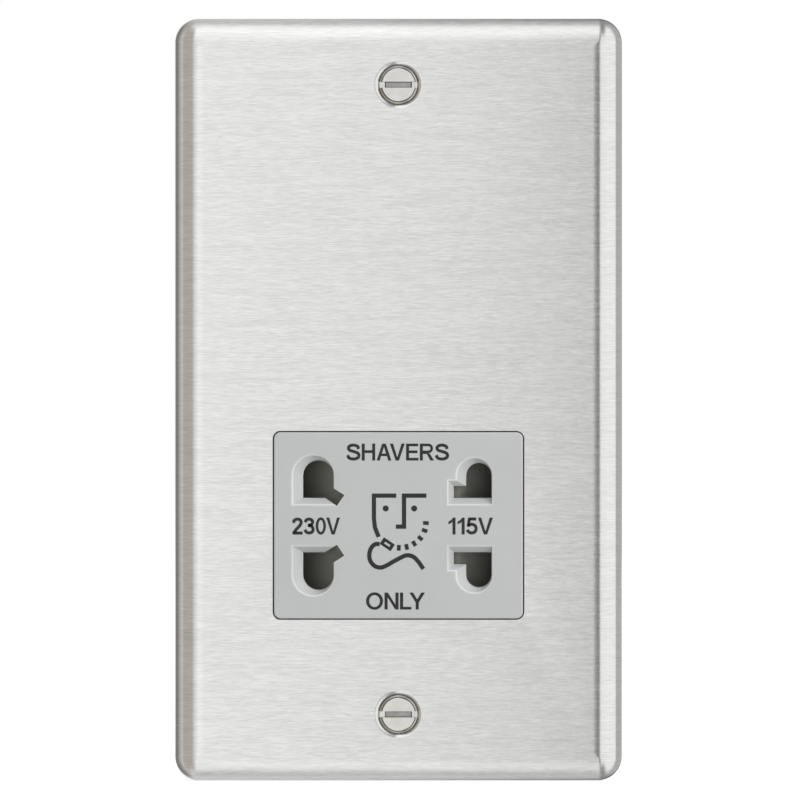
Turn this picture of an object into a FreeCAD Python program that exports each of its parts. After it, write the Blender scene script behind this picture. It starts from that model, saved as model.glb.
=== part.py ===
import FreeCAD
import Part
import Sketcher
import math
import os
from types import SimpleNamespace

# Dual-voltage shaver socket for a two-gang wall box, with isolating transformer and sliding shutter.
# Millimetres: x runs to the right, y into the wall, z up; the origin is the plate's centre on the wall.

SIZES = {
    # Front plate: pressed steel sheet with a rounded rim
    "plate_width": 86.0,
    "plate_height": 146.6,
    "plate_depth": 5.8,
    "plate_sheet": 1.0,
    "plate_corner_radius": 4.6,
    "plate_edge_radius": 4.6,
    # Fixing screws and the dimples pressed for them
    "fixing_centres": 120.6,
    "dimple_radius": 4.5,
    "dimple_hole_radius": 2.05,
    "dimple_lip": 0.6,
    "fixing_head_radius": 3.7,
    "fixing_head_crown_radius": 3.15,
    "fixing_head_rise": 0.5,
    "fixing_slot_width": 1.15,
    "fixing_slot_depth": 1.3,
    "fixing_neck_radius": 1.55,
    "fixing_neck_end": -1.0,
    "fixing_shank_radius": 1.75,
    "fixing_shank_length": 25.0,
    # Weld studs on the plate's back, with push-on spring clips
    "stud_radius": 1.5,
    "stud_length": 4.6,
    "stud_wall_gap": 3.5,
    "stud_height": 10.0,
    "clip_width": 6.0,
    "clip_sheet": 0.5,
    # Outlet panel that fills the plate's opening
    "panel_width": 47.7,
    "panel_height": 35.7,
    "panel_drop": 24.1,
    "panel_proud": 0.3,
    "panel_gap": 0.2,
    "panel_corner_radius": 1.3,
    "panel_flange": 3.0,
    "panel_flange_sheet": 1.0,
    "tunnel_depth": 4.6,
    # Pin apertures: an arch for round pins joined to a slot for flat blades
    "pin_pitch": 19.0,
    "aperture_foot": 5.2,
    "bevel_depth": 1.6,
    "bevel_foot": 1.2,
    "uk_pin_x": 15.35,
    "uk_hole_radius": 2.95,
    "uk_bevel_radius": 3.95,
    "tilted_slot_angle": 33.0,
    "tilted_slot_width": 2.5,
    "tilted_slot_end_x": 11.1,
    "tilted_slot_end_z": 4.75,
    "us_pin_x": 15.45,
    "us_hole_radius": 2.45,
    "us_bevel_radius": 3.5,
    "flat_slot_inner_x": 10.6,
    "flat_slot_width": 2.3,
    "flat_slot_bevel": 1.1,
    # Moulded body behind the plate
    "body_width": 66.0,
    "body_height": 102.0,
    "body_corner_radius": 3.0,
    "moulding_wall": 2.0,
    "tray_rim": 8.0,
    "housing_back": 38.0,
    "housing_edge_chamfer": 1.2,
    # Clearances
    "seat_gap": 0.05,
    "fit_gap": 0.3,
    "slide_gap": 0.3,
    # Interlock shutter, its rails and springs
    "shutter_length": 36.8,
    "shutter_flat_length": 23.8,
    "shutter_thickness": 6.0,
    "shutter_tip": 1.2,
    "shutter_height": 28.0,
    "shutter_tongue": 8.0,
    "rail_width": 5.0,
    "spring_pocket_width": 4.8,
    "spring_pocket_depth": 6.0,
    "spring_radius": 1.9,
    "spring_wire_radius": 0.3,
    "spring_turns": 6,
    "spring_peg_width": 1.8,
    "spring_peg_length": 3.0,
    # Contact carrier and contacts
    "carrier_width": 50.0,
    "carrier_plate": 2.5,
    "carrier_wall": 1.2,
    "carrier_pocket_depth": 14.9,
    "carrier_rib": 2.0,
    "carrier_rib_height": 24.0,
    "contact_z": 8.0,
    "contact_sheet": 0.5,
    "contact_width": 6.5,
    "contact_leaf": 11.5,
    "contact_tail": 4.0,
    "contact_tail_width": 4.0,
    "uk_contact_gap": 4.6,
    "us_contact_gap": 3.8,
    # Transformer: stack of laminations with a split coil on the centre leg
    "core_front": 6.6,
    "core_side_gap": 7.0,
    "core_top_gap": 0.5,
    "core_foot_gap": 4.3,
    "core_stack": 20.0,
    "core_post_width": 6.0,
    "core_post_height": 4.0,
    "core_post_inset": 1.0,
    "bobbin_gap": 0.2,
    "bobbin_wall": 1.0,
    "bobbin_flange": 1.0,
    "bobbin_depth": 35.0,
    "winding_inset": 0.6,
    "winding_corner_radius": 4.0,
    # Thermal cut-out against the core's side
    "cutout_thickness": 4.0,
    "cutout_width": 10.0,
    "cutout_length": 14.0,
    "cutout_front": 12.0,
    "cutout_tag_length": 4.0,
    "cutout_tag_width": 5.0,
    "cutout_tag_sheet": 0.8,
    "cutout_rib": 4.0,
    # Terminal bay at the top of the back
    "bay_floor": 20.0,
    "bay_height": 9.0,
    "bay_wall_depth": 13.0,
    "bay_wall_thickness": 1.6,
    "bay_cell": 11.5,
    "live_x": -20.0,
    "earth_x": 16.0,
    "terminal_width": 8.0,
    "terminal_height": 8.4,
    "terminal_depth": 10.0,
    "terminal_bore_radius": 1.8,
    "terminal_bore_depth": 6.6,
    "terminal_bore_level": 3.6,
    "terminal_tang_width": 2.2,
    "terminal_tang_length": 7.0,
    "terminal_screw_radius": 1.65,
    # Housing screws from the back
    "housing_screw_upper_inset": 3.4,
    "housing_screw_lower_inset": 4.6,
    "housing_screw_radius": 1.45,
    "housing_screw_seat": 14.0,
    "housing_screw_length": 13.0,
    "screw_well_width": 5.6,
    "screw_tower_width": 8.0,
    "screw_boss_width": 5.6,
    # Vents
    "vent_pitch": 6.0,
    "vent_width": 2.2,
    "vent_length": 24.0,
    "side_vent_length": 16.0,
    # Leads
    "lead_radius": 0.8,
    "lead_bend_radius": 2.0,
    "earth_tag_sheet": 0.6,
    "earth_tag_width": 6.0,
    "earth_tag_length": 9.5,
}

document = FreeCAD.newDocument("shaver_socket")
sheet = document.addObject("Spreadsheet::Sheet", "Sizes")
for row, (alias, number) in enumerate(SIZES.items(), start=1):
    sheet.set(f"A{row}", alias)
    sheet.set(f"B{row}", str(number))
    sheet.setAlias(f"B{row}", alias)
document.recompute()


class Size:
    """A length or angle: its value, and the formula that ties it to the sheet."""

    def __init__(self, value, formula):
        self.value = value
        self.formula = formula

    def __add__(self, other):
        other = as_size(other)
        return Size(self.value + other.value, f"({self.formula} + {other.formula})")

    def __sub__(self, other):
        other = as_size(other)
        return Size(self.value - other.value, f"({self.formula} - {other.formula})")

    def __mul__(self, other):
        other = as_size(other)
        return Size(self.value * other.value, f"({self.formula} * {other.formula})")

    def __truediv__(self, other):
        other = as_size(other)
        return Size(self.value / other.value, f"({self.formula} / {other.formula})")

    def __neg__(self):
        return Size(-self.value, f"(0 - {self.formula})")


def as_size(term):
    return term if isinstance(term, Size) else Size(float(term), f"({float(term)})")


def sine(angle):
    return Size(math.sin(math.radians(angle.value)), f"sin({angle.formula})")


def cosine(angle):
    return Size(math.cos(math.radians(angle.value)), f"cos({angle.formula})")


def bind(item, path, size):
    item.setExpression(path, as_size(size).formula)


s = SimpleNamespace(**{alias: Size(number, f"Sizes.{alias}") for alias, number in SIZES.items()})
pieces = []

# Local axes of each sketch plane: front (x, z, towards the front), plan (x, y, up), side (y, z, right)
PLANES = {"front": "XZ_Plane", "plan": "XY_Plane", "side": "YZ_Plane"}


def new_body(label):
    body = document.addObject("PartDesign::Body", label)
    body.Label = label
    pieces.append(body)
    return body


def new_shape(label, shape):
    item = document.addObject("Part::Feature", label)
    item.Label = label
    item.Shape = shape
    pieces.append(item)
    return item


def origin_plane(body, role):
    return next(item for item in body.Origin.OriginFeatures if item.Role == role)


class Sketch:
    """Outlines on one plane of a body, at a level along the plane's axis and about a centre."""

    def __init__(self, body, name, plane, level=0, centre=(0, 0)):
        self.item = body.newObject("Sketcher::SketchObject", name)
        self.item.AttachmentSupport = (origin_plane(body, PLANES[plane]), [""])
        self.item.MapMode = "FlatFace"
        lift = -as_size(level) if plane == "front" else as_size(level)
        for axis, size in zip("xyz", (*centre, lift)):
            bind(self.item, f"AttachmentOffset.Base.{axis}", size)

    def hold(self, kind, edge, point, size):
        size = as_size(size)
        number = self.item.addConstraint(Sketcher.Constraint(kind, -1, 1, edge, point, size.value))
        bind(self.item, f"Constraints[{number}]", size)

    def loop(self, corners, arcs=None):
        """A closed outline; arcs maps an edge's number to the centre of its counter-clockwise arc."""
        arcs = arcs or {}
        corners = [(as_size(x), as_size(y)) for x, y in corners]
        spots = [FreeCAD.Vector(x.value, y.value, 0) for x, y in corners]
        first = self.item.GeometryCount
        count = len(corners)
        for number, start in enumerate(spots):
            end = spots[(number + 1) % count]
            if number in arcs:
                centre = FreeCAD.Vector(*(as_size(term).value for term in arcs[number]), 0)
                angles = [math.atan2(spot.y - centre.y, spot.x - centre.x) for spot in (start, end)]
                if angles[1] <= angles[0]:
                    angles[1] += 2 * math.pi
                circle = Part.Circle(centre, FreeCAD.Vector(0, 0, 1), (start - centre).Length)
                self.item.addGeometry(Part.ArcOfCircle(circle, *angles))
            else:
                self.item.addGeometry(Part.LineSegment(start, end))
        for number in range(count):
            following = (number + 1) % count
            self.item.addConstraint(
                Sketcher.Constraint("Coincident", first + number, 2, first + following, 1)
            )
        for number, (x, y) in enumerate(corners):
            self.hold("DistanceX", first + number, 1, x)
            self.hold("DistanceY", first + number, 1, y)
            if number in arcs:
                chord = spots[(number + 1) % count] - spots[number]
                if abs(chord.x) >= abs(chord.y):
                    self.hold("DistanceY", first + number, 3, arcs[number][1])
                else:
                    self.hold("DistanceX", first + number, 3, arcs[number][0])
        return self

    def rectangle(self, left, right, bottom, top, radius=None):
        if radius is None:
            return self.loop([(left, bottom), (right, bottom), (right, top), (left, top)])
        left, right, bottom, top = (as_size(side) for side in (left, right, bottom, top))
        inner_left = left + radius
        inner_right = right - radius
        inner_bottom = bottom + radius
        inner_top = top - radius
        corners = [
            (inner_left, bottom),
            (inner_right, bottom),
            (right, inner_bottom),
            (right, inner_top),
            (inner_right, top),
            (inner_left, top),
            (left, inner_top),
            (left, inner_bottom),
        ]
        arcs = {
            1: (inner_right, inner_bottom),
            3: (inner_right, inner_top),
            5: (inner_left, inner_top),
            7: (inner_left, inner_bottom),
        }
        return self.loop(corners, arcs)

    def box(self, x, y, width, height, radius=None):
        x, y, width, height = (as_size(term) for term in (x, y, width, height))
        return self.rectangle(x - width / 2, x + width / 2, y - height / 2, y + height / 2, radius)

    def circle(self, x, y, radius):
        spot = FreeCAD.Vector(as_size(x).value, as_size(y).value, 0)
        shape = Part.Circle(spot, FreeCAD.Vector(0, 0, 1), as_size(radius).value)
        edge = self.item.addGeometry(shape)
        self.hold("DistanceX", edge, 3, x)
        self.hold("DistanceY", edge, 3, y)
        number = self.item.addConstraint(Sketcher.Constraint("Radius", edge, as_size(radius).value))
        bind(self.item, f"Constraints[{number}]", radius)
        return self


def feature(kind, body, name, sketch, reverse=False):
    item = body.newObject(f"PartDesign::{kind}", name)
    item.Profile = sketch.item
    item.Reversed = reverse
    return item


def finish(item):
    document.recompute()
    return item


def pad(body, name, sketch, length, reverse=False):
    """Adds along the sketch's axis: towards the front, up or right unless reversed."""
    item = feature("Pad", body, name, sketch, reverse)
    bind(item, "Length", length)
    return finish(item)


def cut(body, name, sketch, length=None, reverse=False):
    """Cuts against the sketch's axis: towards the rear, down or left unless reversed."""
    item = feature("Pocket", body, name, sketch, reverse)
    if length is None:
        item.Type = "ThroughAll"
    else:
        bind(item, "Length", length)
    return finish(item)


def turn(kind, body, name, sketch):
    """A Revolution or Groove about the sketch's own first axis."""
    item = feature(kind, body, name, sketch)
    item.ReferenceAxis = (sketch.item, ["H_Axis"])
    item.Angle = 360
    return finish(item)


def mirror(body, name, originals, plane):
    item = body.newObject("PartDesign::Mirrored", name)
    item.Originals = originals
    item.MirrorPlane = plane
    body.Tip = item
    return finish(item)


def fillet(body, name, base, picks, radius):
    item = body.newObject("PartDesign::Fillet", name)
    item.Base = (base, picks)
    bind(item, "Radius", radius)
    return finish(item)


def chamfer(body, name, base, picks, size):
    item = body.newObject("PartDesign::Chamfer", name)
    item.Base = (base, picks)
    bind(item, "Size", size)
    return finish(item)


def edges_along_depth(item):
    """Names of the straight edges that run along y."""
    names = []
    for number, edge in enumerate(item.Shape.Edges, start=1):
        box = edge.BoundBox
        if box.XLength < 1e-6 and box.ZLength < 1e-6:
            names.append(f"Edge{number}")
    return names


def edges_at_level(item, level):
    """Names of the edges that lie wholly at one level of y."""
    names = []
    for number, edge in enumerate(item.Shape.Edges, start=1):
        box = edge.BoundBox
        if max(abs(box.YMin - level.value), abs(box.YMax - level.value)) < 1e-4:
            names.append(f"Edge{number}")
    return names


# Levels along y, from the panel's front to the housing's back
plate_front = -s.plate_depth
plate_inside = plate_front + s.plate_sheet
tray_floor = plate_inside + s.moulding_wall
panel_front = plate_front - s.panel_proud
panel_back = panel_front + s.tunnel_depth
shutter_front = panel_back + s.slide_gap
shutter_back = shutter_front + s.shutter_thickness
shutter_middle = (shutter_front + shutter_back) / 2
carrier_front = shutter_back + s.slide_gap
carrier_back = carrier_front + s.carrier_plate
contact_seat = carrier_front + s.carrier_pocket_depth
core_back = s.core_front + s.core_stack
housing_floor = s.housing_back - s.moulding_wall

# Outlines shared by the tray and the housing
body_side = s.body_width / 2
body_top = s.body_height / 2
inner_side = body_side - s.moulding_wall
inner_top = body_top - s.moulding_wall
inner_corner_radius = s.body_corner_radius - s.moulding_wall
panel_z = -s.panel_drop
rail_inner = s.shutter_height / 2 + s.slide_gap
rail_outer = rail_inner + s.rail_width
rail_middle = rail_inner + s.rail_width / 2
stud_spread = inner_side - s.stud_wall_gap
stud_spots = [(-stud_spread, s.stud_height), (stud_spread, s.stud_height)]
bay_wall = body_top - s.bay_height
live_edge = s.live_x - s.bay_cell / 2
earth_edge = s.earth_x - s.bay_cell / 2
screw_x = (live_edge + s.bay_cell * 2 + earth_edge) / 2
upper_screw = (screw_x, bay_wall + s.housing_screw_upper_inset)
lower_screw = (screw_x, s.housing_screw_lower_inset - body_top)
screw_spots = [upper_screw, lower_screw]

# Transformer core between the shutter rails and the terminal bay, in the usual proportions of its plates
core_bottom = panel_z + rail_outer + s.core_foot_gap
core_top = bay_wall - s.moulding_wall - s.core_top_gap
core_height = core_top - core_bottom
core_z = (core_top + core_bottom) / 2
core_width = (inner_side - s.core_side_gap) * 2
core_leg = core_width / 3
core_window_width = core_width / 6
core_window_height = core_height - core_window_width * 2
post_x = core_width / 2 - s.core_post_inset - s.core_post_width / 2
post_levels = [
    core_bottom + s.core_post_inset + s.core_post_height / 2,
    core_top - s.core_post_inset - s.core_post_height / 2,
]
post_spots = [(x, z) for x in (-post_x, post_x) for z in post_levels]
neutral_x = s.live_x + s.bay_cell
terminal_spots = {"live": s.live_x, "neutral": neutral_x, "earth": s.earth_x}
terminal_z = bay_wall + s.terminal_height / 2
uk_contact_x = -s.uk_pin_x
us_contact_x = s.us_pin_x

# Front plate: one sheet pressed into a shallow lid, with dimples and weld studs


def pressed_form(body, inset):
    """A plate-shaped block with rounded corners and a rounded front rim, smaller by the inset all round."""
    outline = Sketch(body, f"{body.Label}_outline", "front")
    outline.box(0, 0, s.plate_width - inset * 2, s.plate_height - inset * 2)
    blank = pad(body, f"{body.Label}_blank", outline, s.plate_depth - inset)
    corner_edges = edges_along_depth(blank)
    corners = fillet(body, f"{body.Label}_corners", blank, corner_edges, s.plate_corner_radius - inset)
    rim_edges = edges_at_level(corners, inset - s.plate_depth)
    fillet(body, f"{body.Label}_rim", corners, rim_edges, s.plate_edge_radius - inset)


plate = new_body("front_plate")
pressed_form(plate, as_size(0))
press_core = new_body("press_core")
pieces.remove(press_core)
pressed_form(press_core, s.plate_sheet)
shell = plate.newObject("PartDesign::Boolean", "plate_hollow")
shell.Type = "Cut"
shell.setObjects([press_core])
finish(shell)

opening = Sketch(plate, "opening_outline", "front", plate_front)
opening_width = s.panel_width + s.panel_gap * 2
opening_height = s.panel_height + s.panel_gap * 2
opening.box(0, panel_z, opening_width, opening_height, s.panel_corner_radius + s.panel_gap)
cut(plate, "opening", opening, s.plate_sheet)

fixing_z = s.fixing_centres / 2
cone_end = plate_front + s.dimple_radius - s.dimple_hole_radius
dimple_back = cone_end + s.dimple_lip
dimple_skin = s.dimple_radius + s.plate_sheet * math.sqrt(2)
dimple = Sketch(plate, "dimple_section", "side", centre=(0, fixing_z))
dimple.loop([
    (plate_inside, 0),
    (dimple_back, 0),
    (dimple_back, dimple_skin - (dimple_back - plate_front)),
    (plate_inside, dimple_skin - s.plate_sheet),
])
dimple_bulge = turn("Revolution", plate, "dimple", dimple)
seat = Sketch(plate, "dimple_seat_section", "side", centre=(0, fixing_z))
seat.loop([
    (plate_front, 0),
    (dimple_back, 0),
    (dimple_back, s.dimple_hole_radius),
    (cone_end, s.dimple_hole_radius),
    (plate_front, s.dimple_radius),
])
dimple_seat = turn("Groove", plate, "dimple_seat", seat)
level_plane = (origin_plane(plate, "XY_Plane"), [""])
mirror(plate, "lower_dimple", [dimple_bulge, dimple_seat], level_plane)

studs = Sketch(plate, "stud_outlines", "front", plate_inside)
for x, z in stud_spots:
    studs.circle(x, z, s.stud_radius)
pad(plate, "weld_studs", studs, s.stud_length, reverse=True)

# Fixing screws: slotted raised countersunk heads, relieved neck, plain core of the thread
screws = new_body("fixing_screws")
cone_shift = s.seat_gap * math.sqrt(2)
head_rim = plate_front + s.dimple_radius - s.fixing_head_radius - cone_shift
head_top = head_rim - s.fixing_head_rise
neck_start = plate_front + s.dimple_radius - s.fixing_neck_radius - cone_shift
shank_end = s.fixing_neck_end + s.fixing_shank_length
section = Sketch(screws, "fixing_screw_section", "side", centre=(0, fixing_z))
section.loop([
    (head_top, 0),
    (shank_end, 0),
    (shank_end, s.fixing_shank_radius),
    (s.fixing_neck_end, s.fixing_shank_radius),
    (s.fixing_neck_end, s.fixing_neck_radius),
    (neck_start, s.fixing_neck_radius),
    (head_rim, s.fixing_head_radius),
    (head_top, s.fixing_head_crown_radius),
])
screw = turn("Revolution", screws, "fixing_screw", section)
slot = Sketch(screws, "fixing_slot_outline", "front", head_top)
slot.box(0, fixing_z, s.fixing_head_radius * 2, s.fixing_slot_width)
driver_slot = cut(screws, "fixing_slot", slot, s.fixing_slot_depth)
mirror(screws, "lower_fixing_screw", [screw, driver_slot], (origin_plane(screws, "XY_Plane"), [""]))

# Front body: tray behind the plate, with a seat for the panel, shutter rails, core posts and bosses
tray = new_body("front_body")
seat_back = plate_inside + s.panel_flange_sheet
outline = Sketch(tray, "tray_outline", "front", plate_inside)
outline.box(0, 0, s.body_width, s.body_height, s.body_corner_radius)
pad(tray, "tray_block", outline, s.tray_rim - plate_inside, reverse=True)
hollow = Sketch(tray, "tray_hollow_outline", "front", tray_floor)
hollow.box(0, 0, inner_side * 2, inner_top * 2, inner_corner_radius)
cut(tray, "tray_hollow", hollow, s.tray_rim - tray_floor)
flange_seat = Sketch(tray, "flange_seat_outline", "front", plate_inside)
flange_seat.box(0, panel_z, opening_width + s.panel_flange * 2, opening_height + s.panel_flange * 2)
cut(tray, "flange_seat", flange_seat, s.panel_flange_sheet)
window = Sketch(tray, "panel_window_outline", "front", seat_back)
window.box(0, panel_z, opening_width, opening_height)
cut(tray, "panel_window", window, tray_floor - seat_back)
rails = Sketch(tray, "rail_outlines", "front", panel_back, centre=(0, panel_z))
rail_feet = Sketch(tray, "rail_foot_outlines", "front", tray_floor, centre=(0, panel_z))
for side in (-1, 1):
    rails.box(0, rail_middle * side, inner_side * 2, s.rail_width)
    foot_width = rail_outer - opening_height / 2
    rail_feet.box(0, (rail_outer - foot_width / 2) * side, inner_side * 2, foot_width)
pad(tray, "shutter_rails", rails, carrier_front - panel_back, reverse=True)
pad(tray, "rail_feet", rail_feet, panel_back - tray_floor, reverse=True)
posts = Sketch(tray, "core_post_outlines", "front", tray_floor)
for x, z in post_spots:
    posts.box(x, z, s.core_post_width, s.core_post_height)
pad(tray, "core_posts", posts, s.core_front - tray_floor, reverse=True)
bosses = Sketch(tray, "screw_boss_outlines", "front", tray_floor)
pilots = Sketch(tray, "screw_pilot_outlines", "front", s.housing_screw_seat - s.housing_screw_length)
for x, z in screw_spots:
    bosses.box(x, z, s.screw_boss_width, s.screw_boss_width)
    pilots.circle(x, z, s.housing_screw_radius + s.seat_gap)
pad(tray, "screw_bosses", bosses, s.tray_rim - tray_floor, reverse=True)
cut(tray, "screw_pilots", pilots)
stud_holes = Sketch(tray, "stud_hole_outlines", "front", plate_inside)
for x, z in stud_spots:
    stud_holes.circle(x, z, s.stud_radius + s.fit_gap)
cut(tray, "stud_holes", stud_holes, s.moulding_wall)
peg = Sketch(tray, "spring_peg_outline", "side", inner_side - s.spring_peg_length)
peg.box(shutter_middle, panel_z, s.spring_peg_width, s.spring_peg_width)
right_peg = pad(tray, "right_spring_peg", peg, s.spring_peg_length)
mirror(tray, "left_spring_peg", [right_peg], (origin_plane(tray, "YZ_Plane"), [""]))

# Outlet panel: grey moulding that fills the plate's opening, with a flange behind and four pin apertures
panel = new_body("outlet_panel")
outline = Sketch(panel, "panel_outline", "front", panel_front)
outline.box(0, panel_z, s.panel_width, s.panel_height, s.panel_corner_radius)
pad(panel, "panel_block", outline, s.tunnel_depth, reverse=True)
flange = Sketch(panel, "panel_flange_outline", "front", plate_inside)
flange.box(0, panel_z, s.panel_width + s.panel_flange * 2, s.panel_height + s.panel_flange * 2)
pad(panel, "panel_flange", flange, s.panel_flange_sheet, reverse=True)


def uk_aperture(radius, foot):
    """Arch for a round pin, with the tilted slot for a flat blade at its inner foot."""
    sin_tilt = sine(s.tilted_slot_angle)
    cos_tilt = cosine(s.tilted_slot_angle)
    half = s.tilted_slot_width / 2
    right = s.uk_hole_radius - s.uk_pin_x
    spring_line = s.pin_pitch / 2
    upper_end = (half * sin_tilt - s.tilted_slot_end_x, s.tilted_slot_end_z + half * cos_tilt)
    lower_end = (-half * sin_tilt - s.tilted_slot_end_x, s.tilted_slot_end_z - half * cos_tilt)
    upper_root = (right, upper_end[1] + (upper_end[0] - right) * sin_tilt / cos_tilt)
    lower_root = (lower_end[0] - (foot - lower_end[1]) * cos_tilt / sin_tilt, foot)
    left = right - radius * 2
    corners = [
        (left, foot),
        lower_root,
        lower_end,
        upper_end,
        upper_root,
        (right, spring_line),
        (left, spring_line),
    ]
    return corners, {5: (right - radius, spring_line)}


def us_aperture(radius, foot, slot_inner, slot_top):
    """Arch for a round pin, with the level slot for a flat blade at its inner foot."""
    right = s.us_pin_x + s.us_hole_radius
    spring_line = s.pin_pitch / 2
    left = right - radius * 2
    corners = [
        (slot_inner, foot),
        (right, foot),
        (right, spring_line),
        (left, spring_line),
        (left, slot_top),
        (slot_inner, slot_top),
    ]
    return corners, {2: (right - radius, spring_line)}


bevel_foot = s.aperture_foot - s.bevel_foot
slot_top = s.aperture_foot + s.flat_slot_width
bevel_inner = s.flat_slot_inner_x - s.flat_slot_bevel
apertures = {
    "uk": (
        uk_aperture(s.uk_bevel_radius, bevel_foot),
        uk_aperture(s.uk_hole_radius, s.aperture_foot),
    ),
    "us": (
        us_aperture(s.us_bevel_radius, bevel_foot, bevel_inner, slot_top + s.flat_slot_bevel),
        us_aperture(s.us_hole_radius, s.aperture_foot, s.flat_slot_inner_x, slot_top),
    ),
}
for name, (mouth, throat) in apertures.items():
    mouth_sketch = Sketch(panel, f"{name}_mouth_outline", "front", panel_front, centre=(0, panel_z))
    mouth_sketch.loop(*mouth)
    throat_level = panel_front + s.bevel_depth
    throat_sketch = Sketch(panel, f"{name}_throat_outline", "front", throat_level, centre=(0, panel_z))
    throat_sketch.loop(*throat)
    bevel = panel.newObject("PartDesign::SubtractiveLoft", f"{name}_bevel")
    bevel.Profile = mouth_sketch.item
    bevel.Sections = [throat_sketch.item]
    bevel.Ruled = True
    finish(bevel)
    throat_cut = cut(panel, f"{name}_throat", throat_sketch, s.tunnel_depth - s.bevel_depth)
    panel_level = (throat_sketch.item, ["H_Axis"])
    mirror(panel, f"{name}_lower_aperture", [bevel, throat_cut], panel_level)

# Interlock shutter: slides sideways when a pin presses on a ramp, so only one voltage can be used
shutter = new_body("interlock_shutter")
half_length = s.shutter_length / 2
half_flat = s.shutter_flat_length / 2
ramp_foot = shutter_back - s.shutter_tip
section = Sketch(shutter, "shutter_section", "plan", panel_z - s.shutter_height / 2)
section.loop([
    (-half_flat, shutter_front),
    (half_flat, shutter_front),
    (half_length, ramp_foot),
    (half_length, shutter_back),
    (-half_length, shutter_back),
    (-half_length, ramp_foot),
])
pad(shutter, "shutter_ramps", section, s.shutter_height)
tongue = Sketch(shutter, "tongue_section", "plan", panel_z - s.shutter_tongue / 2)
tongue.rectangle(-half_length, half_length, shutter_front, shutter_back)
pad(shutter, "shutter_tongue", tongue, s.shutter_tongue)
pocket = Sketch(shutter, "spring_pocket_outline", "side", half_length)
pocket.box(shutter_middle, panel_z, s.spring_pocket_width, s.spring_pocket_width)
right_pocket = cut(shutter, "right_spring_pocket", pocket, s.spring_pocket_depth)
mirror(shutter, "left_spring_pocket", [right_pocket], (origin_plane(shutter, "YZ_Plane"), [""]))

# Shutter springs: coils between the shutter's pockets and the walls of the tray, over its pegs
SPRING_SIDES = 6
spring_start = half_length - s.spring_pocket_depth + s.spring_wire_radius * 1.5
spring_end = inner_side - s.spring_wire_radius * 1.5


def coil_shape(start, end, hand):
    """A square wire bent round the spring's axis, with six straight sides to each turn."""
    steps = round(s.spring_turns.value * SPRING_SIDES)
    spots = []
    for step in range(steps + 1):
        angle = 2 * math.pi * step / SPRING_SIDES
        spots.append(FreeCAD.Vector(
            hand * (start.value + (end.value - start.value) * step / steps),
            shutter_middle.value + s.spring_radius.value * math.cos(angle),
            panel_z.value + s.spring_radius.value * math.sin(angle),
        ))
    heading = (spots[1] - spots[0]).normalize()
    across = heading.cross(FreeCAD.Vector(1, 0, 0)).normalize() * s.spring_wire_radius.value
    along = heading.cross(across).normalize() * s.spring_wire_radius.value
    corners = [spots[0] + across + along, spots[0] + across - along]
    corners += [spots[0] - across - along, spots[0] - across + along]
    section = Part.makePolygon(corners + corners[:1])
    return Part.makePolygon(spots).makePipeShell([section], True, False, 1)


for side, hand in (("left", -1), ("right", 1)):
    new_shape(f"shutter_spring_{side}", coil_shape(spring_start, spring_end, hand))

# Contact carrier: plate on the rails with a deep pocket for each contact
contact_spots = {
    "contact_230v_upper": (uk_contact_x, panel_z + s.contact_z, s.uk_contact_gap),
    "contact_230v_lower": (uk_contact_x, panel_z - s.contact_z, s.uk_contact_gap),
    "contact_115v_upper": (us_contact_x, panel_z + s.contact_z, s.us_contact_gap),
    "contact_115v_lower": (us_contact_x, panel_z - s.contact_z, s.us_contact_gap),
}
pocket_height = s.contact_width + s.fit_gap * 2


def pocket_width(gap):
    return gap + s.contact_sheet * 2 + s.fit_gap * 2


carrier = new_body("contact_carrier")
outline = Sketch(carrier, "carrier_outline", "front", carrier_front)
outline.box(0, panel_z, s.carrier_width, rail_outer * 2)
pad(carrier, "carrier_plate", outline, s.carrier_plate, reverse=True)
towers = Sketch(carrier, "pocket_wall_outlines", "front", carrier_back)
pockets = Sketch(carrier, "pocket_outlines", "front", carrier_front)
tails = Sketch(carrier, "tail_slot_outlines", "front", contact_seat)
for x, z, gap in contact_spots.values():
    towers.box(x, z, pocket_width(gap) + s.carrier_wall * 2, pocket_height + s.carrier_wall * 2)
    pockets.box(x, z, pocket_width(gap), pocket_height)
    tails.box(x, z, s.contact_sheet + s.fit_gap * 2, s.contact_tail_width + s.fit_gap * 2)
pad(carrier, "pocket_walls", towers, contact_seat + s.carrier_wall - carrier_back, reverse=True)
cut(carrier, "pockets", pockets, s.carrier_pocket_depth)
cut(carrier, "tail_slots", tails, s.carrier_wall)
# Contacts: phosphor-bronze strip bent to a spring clip, with a tail for its lead
for label, (x, z, gap) in contact_spots.items():
    contact = new_body(label)
    inner = gap / 2
    outer = inner + s.contact_sheet
    leaf_front = contact_seat - s.contact_leaf
    clip = Sketch(contact, f"{label}_section", "plan", z - s.contact_width / 2, centre=(x, 0))
    clip.loop([
        (-outer, leaf_front),
        (-inner, leaf_front),
        (-inner, contact_seat - s.contact_sheet),
        (inner, contact_seat - s.contact_sheet),
        (inner, leaf_front),
        (outer, leaf_front),
        (outer, contact_seat),
        (-outer, contact_seat),
    ])
    pad(contact, f"{label}_clip", clip, s.contact_width)
    tail = Sketch(contact, f"{label}_tail_section", "plan", z - s.contact_tail_width / 2, centre=(x, 0))
    tail.rectangle(-s.contact_sheet / 2, s.contact_sheet / 2, contact_seat, contact_seat + s.contact_tail)
    pad(contact, f"{label}_tail", tail, s.contact_tail_width)


# Transformer core: stacked laminations with two windows
core = new_body("transformer_core")
outline = Sketch(core, "core_outline", "front", s.core_front)
outline.box(0, core_z, core_width, core_height)
for side in (-1, 1):
    window_x = (core_leg + core_window_width) / 2 * side
    outline.box(window_x, core_z, core_window_width, core_window_height)
pad(core, "core_stack", outline, s.core_stack, reverse=True)

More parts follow.
